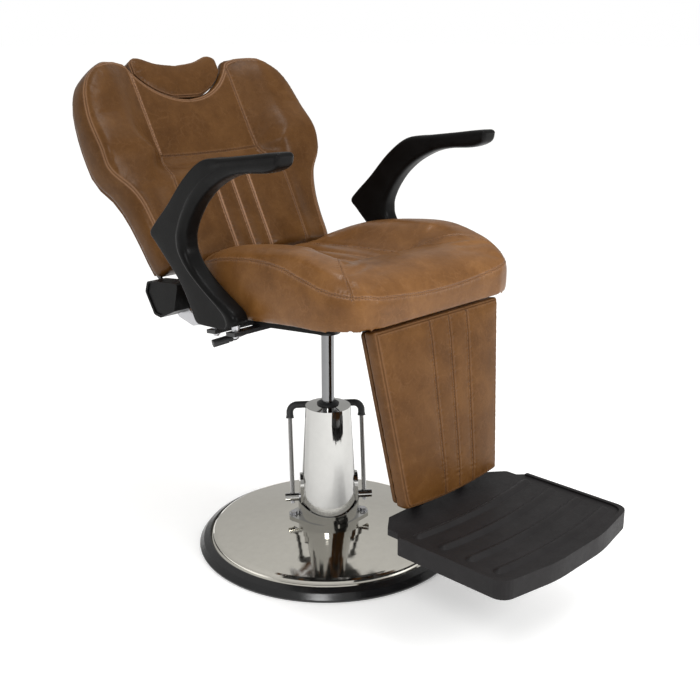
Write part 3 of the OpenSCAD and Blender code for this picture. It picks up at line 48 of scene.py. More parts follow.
# ---- Sizes shared with the CAD part ---------------------------------------

SEAT_PITCH, SEAT_LOW_Z = math.radians(5.8), 606.0
SEAT_W, SEAT_FRONT, SEAT_REAR = 562.0, -342.0, 228.0
BOLSTER_Z, ROLL_Z, INSERT_Z = 769.0, 737.0, 713.0
CHANNEL_STEP, CHANNEL_DEPTH, SEAT_CHANNEL_DEPTH = 53.0, 6.0, 9.0
BACK_RAKE, BACK_FACE_Y, BACK_FACE_Z = math.radians(29.5), 407.7, 901.1
BACK_WIDE, BACK_WAIST, BACK_LOW, BACK_TOP = 333.0, 270.0, -281.0, 247.0
WING, BACK_FOAM, NOTCH_R, NOTCH_LOW = 42.0, 34.0, 166.0, 147.0
NOTCH_T = NOTCH_LOW + NOTCH_R
NOTCH_SWELL = 2     # the padded skin stands this far into the notch
HEAD_W, HEAD_LOW, HEAD_Y, HEAD_HALF = 132.0, 160.0, 29.0, 24.0
LEG_SLANT, LEG_TOP_Z, LEG_TOP_Y = math.radians(7.7), 630.3, -337.6
LEG_LEN, LEG_TOP_W, LEG_LOW_W, LEG_PAD = 380.0, 199.0, 150.0, 38.0
LEG_SEAMS = (-0.19, 0.12, 0.42)
ARM_X, ARM_W = 310.6, 48.0
TREAD_Z, TREAD_Y, TREAD_STEP, TREAD_R, TREAD_HALF, TREAD_COUNT = 226.0, -455.0, 66.0, 1160.0, 182.8, 4


# ---- Shape helpers ----------------------------------------------------------

def smooth(x):
    c = np.clip(x, 0, 1)
    return c * c * (3 - 2 * c)


def curve(x, table):
    """Smooth curve through rows of (at, value), the same one the CAD part uses."""
    at = np.array([row[0] for row in table], float)
    value = np.array([row[1] for row in table], float)
    x = np.clip(np.asarray(x, float), at[0], at[-1])
    i = np.clip(np.searchsorted(at, x, side="right") - 1, 0, len(at) - 2)
    before, after = np.maximum(i - 1, 0), np.minimum(i + 2, len(at) - 1)
    w = at[i + 1] - at[i]
    u = (x - at[i]) / w
    m1 = (value[i + 1] - value[before]) / (at[i + 1] - at[before]) * w
    m2 = (value[after] - value[i]) / (at[after] - at[i]) * w
    return ((2 * u ** 3 - 3 * u ** 2 + 1) * value[i] + (u ** 3 - 2 * u ** 2 + u) * m1
            + (3 * u ** 2 - 2 * u ** 3) * value[i + 1] + (u ** 3 - u ** 2) * m2)


def crown(edge, radius):
    u = 1 - np.clip(edge / radius, 0, 1)
    return np.sqrt(np.maximum(0, 1 - u * u))


def spread(n, tight=1.7):
    """n + 1 values from -1 to 1, closer together towards both ends."""
    w = np.linspace(-1, 1, n + 1)
    return np.sign(w) * (1 - (1 - np.abs(w)) ** tight)


def stack(*parts):
    return np.stack(np.broadcast_arrays(*parts), axis=-1).astype(float)


def tilt(points, angle, y0, z0):
    """From a leaning part's own frame (X across, Y rearward, Z up along it) to the chair's frame."""
    p = np.asarray(points, float)
    c, s = math.cos(angle), math.sin(angle)
    return stack(p[..., 0], y0 + p[..., 1] * c + p[..., 2] * s, z0 - p[..., 1] * s + p[..., 2] * c)


def back_place(points):
    return tilt(points, BACK_RAKE, BACK_FACE_Y, BACK_FACE_Z)


def leg_place(points):
    return tilt(points, LEG_SLANT, LEG_TOP_Y, LEG_TOP_Z)


def new_object(name, verts, faces, smooth_shade=True):
    mesh = bpy.data.meshes.new(name)
    mesh.from_pydata([tuple(v) for v in verts], [], [tuple(int(i) for i in f) for f in faces])
    mesh.validate()
    obj = bpy.data.objects.new(name, mesh)
    bpy.context.scene.collection.objects.link(obj)
    mesh.shade_smooth() if smooth_shade else mesh.shade_flat()
    return obj


def coords(obj):
    co = np.zeros(len(obj.data.vertices) * 3, np.float32)
    obj.data.vertices.foreach_get("co", co)
    return co.reshape(-1, 3).astype(float)


def set_coords(obj, co):
    obj.data.vertices.foreach_set("co", np.asarray(co, np.float32).ravel())
    obj.data.update()


def normals(obj):
    no = np.zeros(len(obj.data.vertices) * 3, np.float32)
    obj.data.vertex_normals.foreach_get("vector", no)
    return no.reshape(-1, 3).astype(float)


def apply_modifier(obj, kind, **values):
    modifier = obj.modifiers.new(kind.lower(), kind)
    for key, value in values.items():
        setattr(modifier, key, value)
    graph = bpy.context.evaluated_depsgraph_get()
    mesh = bpy.data.meshes.new_from_object(obj.evaluated_get(graph))
    obj.modifiers.remove(modifier)
    old, name = obj.data, obj.data.name
    obj.data = mesh
    bpy.data.meshes.remove(old)
    mesh.name = name
    mesh.shade_smooth()


def face_outward(obj):
    bm = bmesh.new()
    bm.from_mesh(obj.data)
    bmesh.ops.recalc_face_normals(bm, faces=bm.faces)
    bm.to_mesh(obj.data)
    bm.free()


def quads(a, b, c, d):
    """Faces between four arrays of point numbers of the same shape."""
    return np.stack([a, b, c, d], -1).reshape(-1, 4).tolist()


def rim_of(grid):
    return np.concatenate([grid[0, :-1], grid[:-1, -1], grid[-1, :0:-1], grid[:0:-1, 0]])


def closed_form(name, front, rings, rear):
    """Closed skin from a front grid, over rings around the sides, to a rear grid of the same shape."""
    rows, cols = front.shape[:2]
    ids = np.arange(rows * cols).reshape(rows, cols)
    verts = [front.reshape(-1, 3)]
    faces = quads(ids[:-1, :-1], ids[1:, :-1], ids[1:, 1:], ids[:-1, 1:])
    last, size = rim_of(ids), rows * cols
    for ring in rings:
        ring_ids = size + np.arange(len(ring))
        faces += quads(last, np.roll(last, -1), np.roll(ring_ids, -1), ring_ids)
        verts.append(ring)
        last, size = ring_ids, size + len(ring)
    rear_ids = ids + size
    ring_ids = rim_of(rear_ids)
    faces += quads(last, np.roll(last, -1), np.roll(ring_ids, -1), ring_ids)
    faces += quads(rear_ids[:-1, :-1], rear_ids[:-1, 1:], rear_ids[1:, 1:], rear_ids[1:, :-1])
    verts.append(rear.reshape(-1, 3))
    obj = new_object(name, np.concatenate(verts) * MM, faces)
    face_outward(obj)
    return obj


# ---- Upholstery -------------------------------------------------------------

CLOTH_PRESSURE, CLOTH_MASS, CLOTH_STRETCH, CLOTH_BEND, CLOTH_FRAMES = 4.0, 0.35, 25, 3, 20
SEAM_HOLD = 3.5     # the cloth is held this close to a seam
SEAM_REFINE = 7.0   # faces this close to a seam are split
SEAM_REACH = 22     # a seam shapes the skin up to here

def resample(points, step):
    p = np.asarray(points, float)
    at = np.concatenate([[0], np.cumsum(np.linalg.norm(np.diff(p, axis=0), axis=1))])
    n = max(2, int(round(at[-1] / step)) + 1)
    s = np.linspace(0, at[-1], n)
    return np.stack([np.interp(s, at, p[:, k]) for k in range(3)], -1)


def rounded_path(points, times=2):
    """Cuts the corners of a path so that it runs smoothly."""
    p = np.asarray(points, float)
    for _ in range(times):
        a, b = p[:-1] * 0.75 + p[1:] * 0.25, p[:-1] * 0.25 + p[1:] * 0.75
        p = np.concatenate([p[:1], np.stack([a, b], 1).reshape(-1, 3), p[-1:]])
    return p


def surface_tree(obj):
    graph = bpy.context.evaluated_depsgraph_get()
    return BVHTree.FromObject(obj, graph)


def on_surface(tree, points, reach=0.06):
    """Points in millimetres, put on the nearest place of the skin. The result is in metres, as meshes are."""
    out = []
    for p in np.asarray(points) * MM:
        place, _, _, _ = tree.find_nearest(Vector(p), reach)
        if place is not None:
            out.append(tuple(place))
    return np.array(out)


def dropped(tree, points, direction):
    """Points in millimetres, moved along a direction until they meet the skin."""
    out = []
    for p in np.asarray(points) * MM:
        start = Vector(p) - Vector(direction) * 0.2
        place, _, _, _ = tree.ray_cast(start, Vector(direction))
        if place is not None:
            out.append(tuple(np.array(place) / MM))
    return np.array(out)


class Seam:
    """A sewn line. Its path is in metres, its depth, width and the height of its edges in millimetres.

    A row is the distance of its stitches from the seam, and step is the distance between two stitches.
    """

    # The pale band beside a seam is partly worn leather and partly a painted highlight on its raised edge.
    def __init__(self, path, depth=2.4, ridge=0.9, wear_and_highlight=0.15, rows=(3.2,), step=6.0, width=1.7):
        self.path, self.depth, self.ridge, self.wear_and_highlight = path, depth, ridge, wear_and_highlight
        self.rows, self.step, self.width = rows, step, width


def remesh(obj, voxel):
    apply_modifier(obj, "REMESH", mode="VOXEL", voxel_size=voxel * MM, use_smooth_shade=True)
    apply_modifier(obj, "SMOOTH", factor=0.5, iterations=2)


def near_seams(obj, seams, reach):
    """Whether each vertex lies within reach of a seam."""
    points = np.concatenate([s.path for s in seams])
    tree = KDTree(len(points))
    for i, p in enumerate(points):
        tree.insert(p, i)
    tree.balance()
    return np.array([tree.find(v)[2] < reach for v in coords(obj)])


def inflate(obj, seams, cap, held):
    """Blows the skin up as a cloth, held along its seams and where held is true, and keeps the result.

    No point moves by more than cap.
    """
    rest = coords(obj)
    fixed = near_seams(obj, seams, SEAM_HOLD * MM) | held
    group = obj.vertex_groups.new(name="held")
    group.add([int(i) for i in np.nonzero(fixed)[0]], 1.0, "REPLACE")
    cloth = obj.modifiers.new("cloth", "CLOTH")
    cloth.settings.use_pressure = True
    cloth.settings.uniform_pressure_force = CLOTH_PRESSURE
    cloth.settings.vertex_group_mass = "held"
    cloth.settings.effector_weights.gravity = 0
    cloth.settings.mass = CLOTH_MASS
    cloth.settings.tension_stiffness = CLOTH_STRETCH
    cloth.settings.compression_stiffness = CLOTH_STRETCH
    cloth.settings.bending_stiffness = CLOTH_BEND
    cloth.collision_settings.use_collision = False
    scene = bpy.context.scene
    for n in range(1, CLOTH_FRAMES + 1):
        scene.frame_set(n)
    graph = bpy.context.evaluated_depsgraph_get()
    blown = obj.evaluated_get(graph).to_mesh()
    co = np.zeros(len(rest) * 3, np.float32)
    blown.vertices.foreach_get("co", co)
    obj.evaluated_get(graph).to_mesh_clear()
    obj.modifiers.remove(cloth)
    obj.vertex_groups.remove(group)
    scene.frame_set(1)
    move = co.reshape(-1, 3) - rest
    size = np.linalg.norm(move, axis=1, keepdims=True)
    limit = cap * MM
    move *= np.where(size > 1e-9, limit * np.tanh(size / limit) / np.maximum(size, 1e-9), 1)
    set_coords(obj, rest + move)


def refine(obj, seams, reach):
    """Splits the faces beside the seams, so that grooves and folds have enough points."""
    near = near_seams(obj, seams, reach * MM)
    bm = bmesh.new()
    bm.from_mesh(obj.data)
    bm.verts.ensure_lookup_table()
    edges = [e for e in bm.edges if near[e.verts[0].index] and near[e.verts[1].index]]
    bmesh.ops.subdivide_edges(bm, edges=edges, cuts=1, use_grid_fill=True, smooth=0)
    bmesh.ops.triangulate(bm, faces=[f for f in bm.faces if len(f.verts) > 4])
    bm.to_mesh(obj.data)
    bm.free()
    obj.data.shade_smooth()


def press(obj, seams, pucker=0.5, seed=0.0):
    """Draws the skin in along each seam, raises its folded edges and gathers the leather beside it."""
    points, rows = [], []
    for s in seams:
        along = np.concatenate([[0], np.cumsum(np.linalg.norm(np.diff(s.path, axis=0), axis=1))]) / MM
        fade = np.minimum(1, np.minimum(along, along[-1] - along) / 6 + 0.35)
        for p, a, f in zip(s.path, along, fade):
            points.append(p)
            rows.append((s.depth * f, s.ridge * f, s.width, s.wear_and_highlight * f, a, len(rows)))
    tree = KDTree(len(points))
    for i, p in enumerate(points):
        tree.insert(p, i)
    tree.balance()
    co, no = coords(obj), normals(obj)
    wear_and_highlight = np.zeros(len(co), np.float32)
    groove = np.zeros(len(co), np.float32)
    table = np.array(rows)
    found = np.array([(lambda h: (h[1], h[2]))(tree.find(v)) for v in co])
    index, d = found[:, 0].astype(int), found[:, 1] / MM
    depth, ridge, width, worn_and_lit, along = (table[index, k] for k in range(5))
    near = d < SEAM_REACH
    gather = np.sin(along * 0.52 + 2.1 * np.sin(along * 0.083 + seed) + seed)
    gather *= 0.6 + 0.4 * np.sin(along * 0.17 + 1.3 * seed)
    lift = (-depth * np.exp(-(d / width) ** 2) + ridge * np.exp(-((d - 3.6) / 2.4) ** 2)
            - 0.35 * depth * np.exp(-(d / 9.0) ** 2)
            + pucker * gather * np.exp(-((d - 6) / 4.5) ** 2) * np.minimum(1, depth / 2))
    co += no * (np.where(near, lift, 0) * MM)[:, None]
    # Pale band beside the seam: partly real wear, partly a painted highlight where light catches the raised
    # edge.
    wear_and_highlight[:] = worn_and_lit * np.exp(-((d - 2.9) / 1.9) ** 2)
    # Painted shade in each seam's crease, darker where the seam is deeper.
    groove[:] = np.exp(-(d / 1.7) ** 2) * np.clip((depth - 0.8) / 2.2, 0.15, 1)
    set_coords(obj, co)
    for name, values in (("wear_and_highlight", wear_and_highlight), ("groove", groove)):
        obj.data.attributes.new(name, "FLOAT", "POINT").data.foreach_set("value", values)


def capsule(length, radius, sides=6, rings=(0.0, 0.35, 0.7, 0.93, 1.0)):
    """One stitch along X, as points and faces about its middle."""
    stations = [-r for r in rings[:0:-1]] + list(rings)
    verts, faces = [], []
    for u in stations:
        r = radius * math.sqrt(max(0.02, 1 - u ** 4))
        turns = [2 * math.pi * k / sides for k in range(sides)]
        verts += [(u * length / 2, r * math.cos(a), r * math.sin(a)) for a in turns]
    for j in range(len(stations) - 1):
        low, high = j * sides, (j + 1) * sides
        faces += [(low + k, low + (k + 1) % sides, high + (k + 1) % sides, high + k) for k in range(sides)]
    faces.append(tuple(range(sides))[::-1])
    faces.append(tuple((len(stations) - 1) * sides + k for k in range(sides)))
    return np.array(verts), faces


def stitch(name, obj, seams, length=4.0, radius=0.55):
    """Rows of stitches on the skin beside the seams, as one piece."""
    tree = surface_tree(obj)
    base, base_faces = capsule(length * MM, radius * MM)
    verts, faces = [], []
    for s in seams:
        if not s.rows:
            continue
        path = resample(s.path, s.step * MM)
        if len(path) < 4:
            continue
        tangent = np.gradient(path, axis=0)
        tangent /= np.linalg.norm(tangent, axis=1, keepdims=True)
        for offset in s.rows:
            for p, t in zip(path[1:-1], tangent[1:-1]):
                place, normal, _, _ = tree.find_nearest(Vector(p), 0.02)
                if place is None:
                    continue
                side = Vector(t).cross(normal)
                place, normal, _, _ = tree.find_nearest(place + side * offset * MM, 0.02)
                if place is None:
                    continue
                across = normal.cross(Vector(t)).normalized()
                ahead = across.cross(normal).normalized()
                turn = np.array([ahead, across, normal]).T
                shift = np.array(place) + np.array(normal) * 0.1 * MM
                faces += [tuple(i + len(verts) * len(base) for i in f) for f in base_faces]
                verts.append(base @ turn.T + shift)
    return new_object(name, np.concatenate(verts), faces)


# ---- Seat -------------------------------------------------------------------

def seat_low(y):
    return SEAT_LOW_Z - np.asarray(y, float) * math.tan(SEAT_PITCH)


def seat_half(y):
    share = [(SEAT_FRONT, 0.345), (-332, 0.405), (-310, 0.448), (-270, 0.483), (-200, 0.498), (-60, 0.5),
             (90, 0.49), (130, 0.468), (160, 0.436), (185, 0.4), (205, 0.355), (220, 0.31), (SEAT_REAR, 0.27)]
    return SEAT_W * curve(y, share)


def seat_top(x, y):
    mid = curve(y, [(SEAT_FRONT, ROLL_Z - 12), (-300, ROLL_Z - 3), (-250, ROLL_Z), (-195, ROLL_Z - 6),
                    (-158, INSERT_Z + 12), (-146, INSERT_Z - 1), (-118, INSERT_Z - 4), (0, INSERT_Z - 9),
                    (SEAT_REAR, INSERT_Z - 26)])
    crest = curve(y, [(SEAT_FRONT, ROLL_Z - 22), (-300, ROLL_Z - 4), (-250, BOLSTER_Z - 18),
                      (-160, BOLSTER_Z), (-60, BOLSTER_Z - 5), (60, BOLSTER_Z - 24), (150, BOLSTER_Z - 52),
                      (SEAT_REAR, BOLSTER_Z - 82)])
    blend = smooth((np.abs(x) - 112) / np.where(y > -150, 84, 98))
    u = np.abs(x) / CHANNEL_STEP
    flute = (np.abs(np.sin(math.pi * u)) - 1) * SEAT_CHANNEL_DEPTH * smooth((150 + y) / 32)
    flute = np.where((u > 1.5) | (y < -150), 0, flute)
    return mid * (1 - blend) + crest * blend + flute * (1 - blend)


def seat_skin():
    columns = spread(130)[None, :]
    rows = ((spread(130) + 1) / 2 * (SEAT_REAR - SEAT_FRONT) + SEAT_FRONT)[:, None]
    x = columns * seat_half(rows)
    side = seat_low(rows) + 42
    edge = np.minimum(np.minimum(seat_half(rows) - np.abs(x), rows - SEAT_FRONT), SEAT_REAR - rows)
    front = stack(x, rows, side + (seat_top(x, rows) - side) * crown(edge, 44))
    rim = rim_of(front)

    hang = 10 * smooth((-rim[:, 1] - 120) / 180)
    ahead = smooth((-rim[:, 1] - 300) / 30)

    def ring(share, rise):
        kept = share + (1 - share) * 0.8 * ahead
        return stack(rim[:, 0] * share, rim[:, 1] * kept - 57 * (1 - kept), seat_low(rim[:, 1]) + rise - hang)

    lip = 15 * smooth((-rows - 262) / 22) * smooth((rows - SEAT_FRONT - 2) / 8)
    rear = stack(front[..., 0] * 0.95, rows * 0.95 - 3, seat_low(rows) + lip + 1)
    return closed_form("seat_upholstery", front, [ring(1, 26), ring(0.992, 12), ring(0.975, 4)], rear)


def seat_seams(obj):
    tree = surface_tree(obj)
    side_y = np.linspace(205, -338, 60)
    side_z = curve(-side_y, [(-205, 676), (-150, 712), (-80, 735), (0, 747), (60, 752), (110, 750),
                             (156, 744), (185, 736), (220, 727), (255, 718), (282, 713), (309, 709),
                             (342, 704)])
    left = stack(-seat_half(side_y) - 6, side_y, side_z)
    front_x = np.linspace(-190, 190, 40)
    front = stack(front_x, np.full(40, SEAT_FRONT - 5.0), 686 + 17 * (front_x / 195) ** 2)
    rim = np.concatenate([left, front, (left * [-1, 1, 1])[::-1]])
    rim = on_surface(tree, resample(rounded_path(rim), 2))
    seams = [Seam(rim, depth=1.0, ridge=0.8, wear_and_highlight=0.3, rows=(-3.0, 3.0), width=1.1)]
    down = (0, 0, -1)

    def over(points, times=2):
        p = np.array([(x, y, 800.0) for x, y in points])
        return dropped(tree, resample(rounded_path(p, times), 2), down) * MM

    for s in (-1, 1):
        roll = over([(s * 112, -148), (s * 136, -168), (s * 162, -196), (s * 208, -248), (s * 236, -292),
                     (s * 243, -318)])
        seams.append(Seam(roll, depth=1.2, ridge=0.8, wear_and_highlight=0.1, rows=(3.0,), width=1.2))
        insert = over([(s * 112, -148), (s * 108, -60), (s * 106, 60), (s * 104, 205)])
        seams.append(Seam(insert, depth=2.2, ridge=0.8))
    seams.append(Seam(over([(-112, -148), (-50, -152), (50, -152), (112, -148)]),
                      depth=6.0, ridge=2.2, wear_and_highlight=0.5, rows=(), width=3.2))
    for x in (-CHANNEL_STEP, 0, CHANNEL_STEP):
        channel = over([(x, -146), (x, 0), (x, 214)], 0)
        seams.append(Seam(channel, depth=6.0, ridge=2.0, wear_and_highlight=1.0, rows=(), width=3.0))
    return seams


# ---- Backrest ---------------------------------------------------------------

def back_half(t):
    return curve(t, [(BACK_LOW, BACK_WAIST - 14), (-262, BACK_WAIST - 7), (-202, BACK_WAIST),
                     (-136, BACK_WAIST + 10), (-85, BACK_WAIST + 26), (-36, BACK_WIDE - 6), (20, BACK_WIDE),
                     (85, BACK_WIDE - 3), (151, BACK_WIDE - 15), (191, BACK_WIDE - 34), (212, BACK_WIDE - 55),
                     (230, BACK_WIDE - 80), (241, BACK_WIDE - 102), (BACK_TOP, BACK_WIDE - 122)])


def back_top(x):
    return np.minimum(BACK_TOP, NOTCH_T - np.sqrt(np.maximum(0, (NOTCH_R - NOTCH_SWELL) ** 2 - x * x)))


def back_face(x, t):
    seam = np.where(t > 0, 148, np.minimum(168, 148 - t * 0.3))
    side = smooth((np.abs(x) - seam + 8) / (66 + 40 * smooth((t + 10) / 60)))
    shoulder = curve(t, [(BACK_LOW, WING - 8), (-180, WING - 14), (-100, WING - 6), (-40, WING + 6),
                         (20, WING + 18), (100, WING + 1), (205, WING - 4), (BACK_TOP, WING - 16)])
    lumbar = smooth((-t - 6) / 70) * (WING + 6 + t * 0.03)
    flute = (1 - np.abs(np.sin(math.pi * x / CHANNEL_STEP))) * CHANNEL_DEPTH * smooth((-t - 20) / 60)
    flute = np.where((np.abs(x) > 1.5 * CHANNEL_STEP) | (t > -20), 0, flute)
    return -(side * shoulder + (1 - side) * lumbar) + flute * (1 - side)


def back_skin():
    columns, rows = spread(150)[None, :], ((spread(130) + 1) / 2)[:, None]
    low, top = np.zeros(columns.shape), np.full(columns.shape, BACK_TOP)
    for _ in range(30):
        mid = (low + top) / 2
        above = back_top(columns * back_half(mid)) < mid
        low, top = np.where(above, low, mid), np.where(above, mid, top)
    t = BACK_LOW + rows * (top - BACK_LOW)
    x = columns * back_half(t)
    notch = np.maximum(0, np.hypot(x, t - NOTCH_T) - NOTCH_R + NOTCH_SWELL)
    edge = np.minimum(np.minimum(back_half(t) - np.abs(x), t - BACK_LOW), np.minimum(BACK_TOP - t, notch))
    edge = np.minimum(edge, (top - t))
    start = np.where(t > 100, 12 * smooth((190 - np.abs(x)) / 50), 0.0)
    face = start + (back_face(x, t) - start) * crown(np.maximum(edge, 0), 21)
    front = stack(x, face, t)
    rim = rim_of(front)

    def ring(share, depth):
        return stack(rim[:, 0] * share, np.full(len(rim), depth), rim[:, 2] * share - (1 - share) * 20)

    rear = stack(x * 0.975, np.full(x.shape, BACK_FOAM - 0.5), t * 0.975 - 1)
    obj = closed_form("backrest_upholstery", front, [ring(0.998, 22), ring(0.99, 31)], rear)
    set_coords(obj, back_place(coords(obj) / MM) * MM)
    return obj


def back_seams(obj):
    tree = surface_tree(obj)
    ahead = np.array(back_place((0, 1, 0))) - np.array(back_place((0, 0, 0)))

    def over(points, times=2):
        p = np.array([(x, -100.0, t) for x, t in points])
        return dropped(tree, back_place(resample(rounded_path(p, times), 2)), ahead) * MM

    seams = []
    for s in (-1, 1):
        upper = over([(s * 148, 222), (s * 148, 120), (s * 148, 2)], 0)
        # The -X upper seam gets a paler band than its +X twin: painted highlight where the light catches that
        # wing.
        seams.append(Seam(upper, depth=1.6, wear_and_highlight=0.3 if s > 0 else 0.7, rows=(s * 3.0,), width=1.3))
        lower = over([(s * 148, 2), (s * 156, -22), (s * 168, -58), (s * 170, -150), (s * 167, -272)])
        seams.append(Seam(lower, depth=1.8, wear_and_highlight=0.25, rows=(s * 3.0,), width=1.4))
        t = np.linspace(-270, 243, 70)
        inset = 7.0
        side = [(s * (back_half(v) - inset - 15 * smooth((-v - 10) / 120)), v) for v in t]
        r = NOTCH_R + inset
        arc_to = math.asin(math.sqrt(r ** 2 - (NOTCH_T - BACK_TOP + inset) ** 2) / r)
        arc = [(s * r * math.sin(a), NOTCH_T - r * math.cos(a)) for a in np.linspace(arc_to * 0.97, 0, 24)]
        across = [(s * x, BACK_TOP - inset) for x in (195, 180)]
        edge = over(side[:-3] + across + arc, 2)
        seams.append(Seam(edge, depth=1.2, ridge=1.0, wear_and_highlight=0.5, rows=(), width=1.2))
    waist = over([(-148, 2), (-60, -1), (60, -1), (148, 2)])
    seams.append(Seam(waist, depth=1.6, wear_and_highlight=0.1, rows=(-3.0, 3.0), width=1.4))
    for x in (-CHANNEL_STEP, 0, CHANNEL_STEP):
        seams.append(Seam(over([(x, -62), (x, -150), (x, -274)], 0), depth=2.6, ridge=0.8, wear_and_highlight=1.0, rows=()))
    return seams


# ---- Headrest and legrest ---------------------------------------------------

def head_top(x):
    return curve(np.abs(x), [(0, 240), (60, 248), (HEAD_W - 28, 263), (HEAD_W - 11, 260), (HEAD_W, 249)])


def head_low(x):
    r = NOTCH_R - 7
    return np.maximum(HEAD_LOW - 6, NOTCH_T - 4 - np.sqrt(np.maximum(0, r * r - x * x)))


def head_skin():
    columns, rows = spread(70)[None, :], ((spread(40) + 1) / 2)[:, None]
    x = columns * HEAD_W + 0 * rows
    t = head_low(x) + rows * (head_top(x) - head_low(x))
    edge = np.minimum(np.minimum(HEAD_W - np.abs(x), t - head_low(x)), head_top(x) - t)
    swell = 12 + (HEAD_HALF - 12) * crown(np.maximum(edge, 0), 15)
    front, rear = stack(x, HEAD_Y - swell, t), stack(x, HEAD_Y + swell, t)
    obj = closed_form("headrest_upholstery", front, [], rear)
    set_coords(obj, back_place(coords(obj) / MM) * MM)
    return obj


def head_seams(obj):
    tree = surface_tree(obj)
    seams = []
    for face in (-1, 1):
        a = np.linspace(-1, 1, 60)
        inset = 4.5
        low = [(u * (HEAD_W - inset), head_low(u * (HEAD_W - inset)) + inset) for u in a]
        top = [(u * (HEAD_W - inset), head_top(u * (HEAD_W - inset)) - inset) for u in a[::-1]]
        loop = np.array([(x, HEAD_Y + face * 16.0, t) for x, t in low + top + low[:1]])
        path = on_surface(tree, back_place(resample(rounded_path(loop), 2)))
        seams.append(Seam(path, depth=1.5, ridge=0.9, wear_and_highlight=0.35, rows=()))
    return seams


def leg_half(z):
    return LEG_TOP_W + (LEG_TOP_W - LEG_LOW_W) * z / LEG_LEN


def leg_skin():
    columns, rows = spread(90)[None, :], ((spread(90) + 1) / 2)[:, None]
    bow = 9 * (1 - columns ** 2)
    z = -rows * (LEG_LEN + bow)
    x = columns * leg_half(np.maximum(z, -LEG_LEN))
    edge = np.minimum(np.minimum(leg_half(z) - np.abs(x), -z), LEG_LEN + bow + z)
    swell = 2.5 * smooth(edge / 60)
    front = stack(x, 11 * (1 - crown(np.maximum(edge, 0), 11)) + 2.5 - swell, z)
    rim = rim_of(front)
    rear = stack(x * 0.985, np.full(x.shape, LEG_PAD - 0.4), z * 0.985 - 2.5)

    def ring(share, depth):
        return stack(rim[:, 0] * share, np.full(len(rim), depth), rim[:, 2] * share - (1 - share) * 190)

    obj = closed_form("legrest_upholstery", front, [ring(1, 22), ring(0.995, 33)], rear)
    set_coords(obj, leg_place(coords(obj) / MM) * MM)
    return obj


def leg_seams(obj):
    tree = surface_tree(obj)
    behind = np.array(leg_place((0, 1, 0))) - np.array(leg_place((0, 0, 0)))

    def over(points, times=1):
        p = np.array([(x, -60.0, z) for x, z in points])
        return dropped(tree, leg_place(resample(rounded_path(p, times), 2)), behind) * MM

    seams = []
    for share in LEG_SEAMS:
        line = [(share * LEG_TOP_W, -3), (share * LEG_LOW_W, -LEG_LEN - 4)]
        seams.append(Seam(over(line, 0), depth=2.2, ridge=0.8, wear_and_highlight=0.12, rows=(2.8,), step=5.5, width=1.3))
    e = 4.5
    top = [(u * (LEG_TOP_W - e), -e) for u in np.linspace(-1, 1, 20)]
    right = [(leg_half(z) - e, z) for z in np.linspace(-e, -LEG_LEN + e, 20)]
    low = [(u * (LEG_LOW_W - e), -LEG_LEN - 9 * (1 - u * u) + e) for u in np.linspace(1, -1, 20)]
    left = [(-x, z) for x, z in right[::-1]]
    edge = over(top + right[1:] + low[1:] + left[1:], 1)
    seams.append(Seam(edge, depth=1.6, ridge=0.7, wear_and_highlight=0.2, rows=(), width=1.2))
    return seams


# ---- Materials --------------------------------------------------------------

class Nodes:
    """A material's node tree, with short ways to add and join nodes."""

    def __init__(self, name):
        self.material = bpy.data.materials.new(name)
        self.material.use_nodes = True
        self.tree = self.material.node_tree
        self.shader = self.tree.nodes["Principled BSDF"]
        self.place = self.add("ShaderNodeTexCoord").outputs["Object"]

    def add(self, kind, inputs=None, **values):
        node = self.tree.nodes.new(kind)
        for key, value in values.items():
            setattr(node, key, value)
        for key, value in (inputs or {}).items():
            if isinstance(value, bpy.types.NodeSocket):
                self.tree.links.new(value, node.inputs[key])
            else:
                node.inputs[key].default_value = value
        return node

    def put(self, socket, value):
        """Joins another node's socket to this one, or sets it to a number or a colour."""
        if isinstance(value, bpy.types.NodeSocket):
            self.tree.links.new(value, socket)
        else:
            socket.default_value = (*value, 1) if isinstance(value, tuple) and len(value) == 3 else value

    def noise(self, scale, detail=3.0, roughness=0.55, distortion=0.0, place=None):
        node = self.add("ShaderNodeTexNoise", {
            "Vector": place or self.place, "Scale": scale, "Detail": detail, "Roughness": roughness,
            "Distortion": distortion})
        return node.outputs["Fac"]

    def ramp(self, value, stops):
        node = self.add("ShaderNodeValToRGB", {"Fac": value})
        while len(node.color_ramp.elements) < len(stops):
            node.color_ramp.elements.new(0.5)
        for element, (at, colour) in zip(node.color_ramp.elements, stops):
            element.position = at
            element.color = (*colour, 1) if len(colour) == 3 else colour
        return node.outputs["Color"]

    def level(self, value, low, high, to_low=0.0, to_high=1.0):
        node = self.add("ShaderNodeMapRange", {"Value": value, "From Min": low, "From Max": high,
                                               "To Min": to_low, "To Max": to_high})
        return node.outputs["Result"]

    def mix(self, share, a, b, kind="MIX"):
        node = self.add("ShaderNodeMix", data_type="RGBA", blend_type=kind)
        for socket, value in ((node.inputs[0], share), (node.inputs[6], a), (node.inputs[7], b)):
            self.put(socket, value)
        return node.outputs[2]

    def math(self, kind, a, b=0.0):
        return self.add("ShaderNodeMath", {0: a, 1: b}, operation=kind).outputs[0]

    def bump(self, height, strength, distance, normal=None):
        inputs = {"Height": height, "Strength": strength, "Distance": distance}
        if normal is not None:
            inputs["Normal"] = normal
        return self.add("ShaderNodeBump", inputs).outputs["Normal"]

    def attribute(self, name):
        return self.add("ShaderNodeAttribute", attribute_name=name).outputs["Fac"]

    def set(self, **values):
        for key, value in values.items():
            self.put(self.shader.inputs[SOCKETS[key]], value)
        return self.material


SOCKETS = {"base_color": "Base Color", "coat": "Coat Weight", "coat_roughness": "Coat Roughness",
           "specular": "Specular IOR Level", "metallic": "Metallic", "roughness": "Roughness",
           "normal": "Normal"}


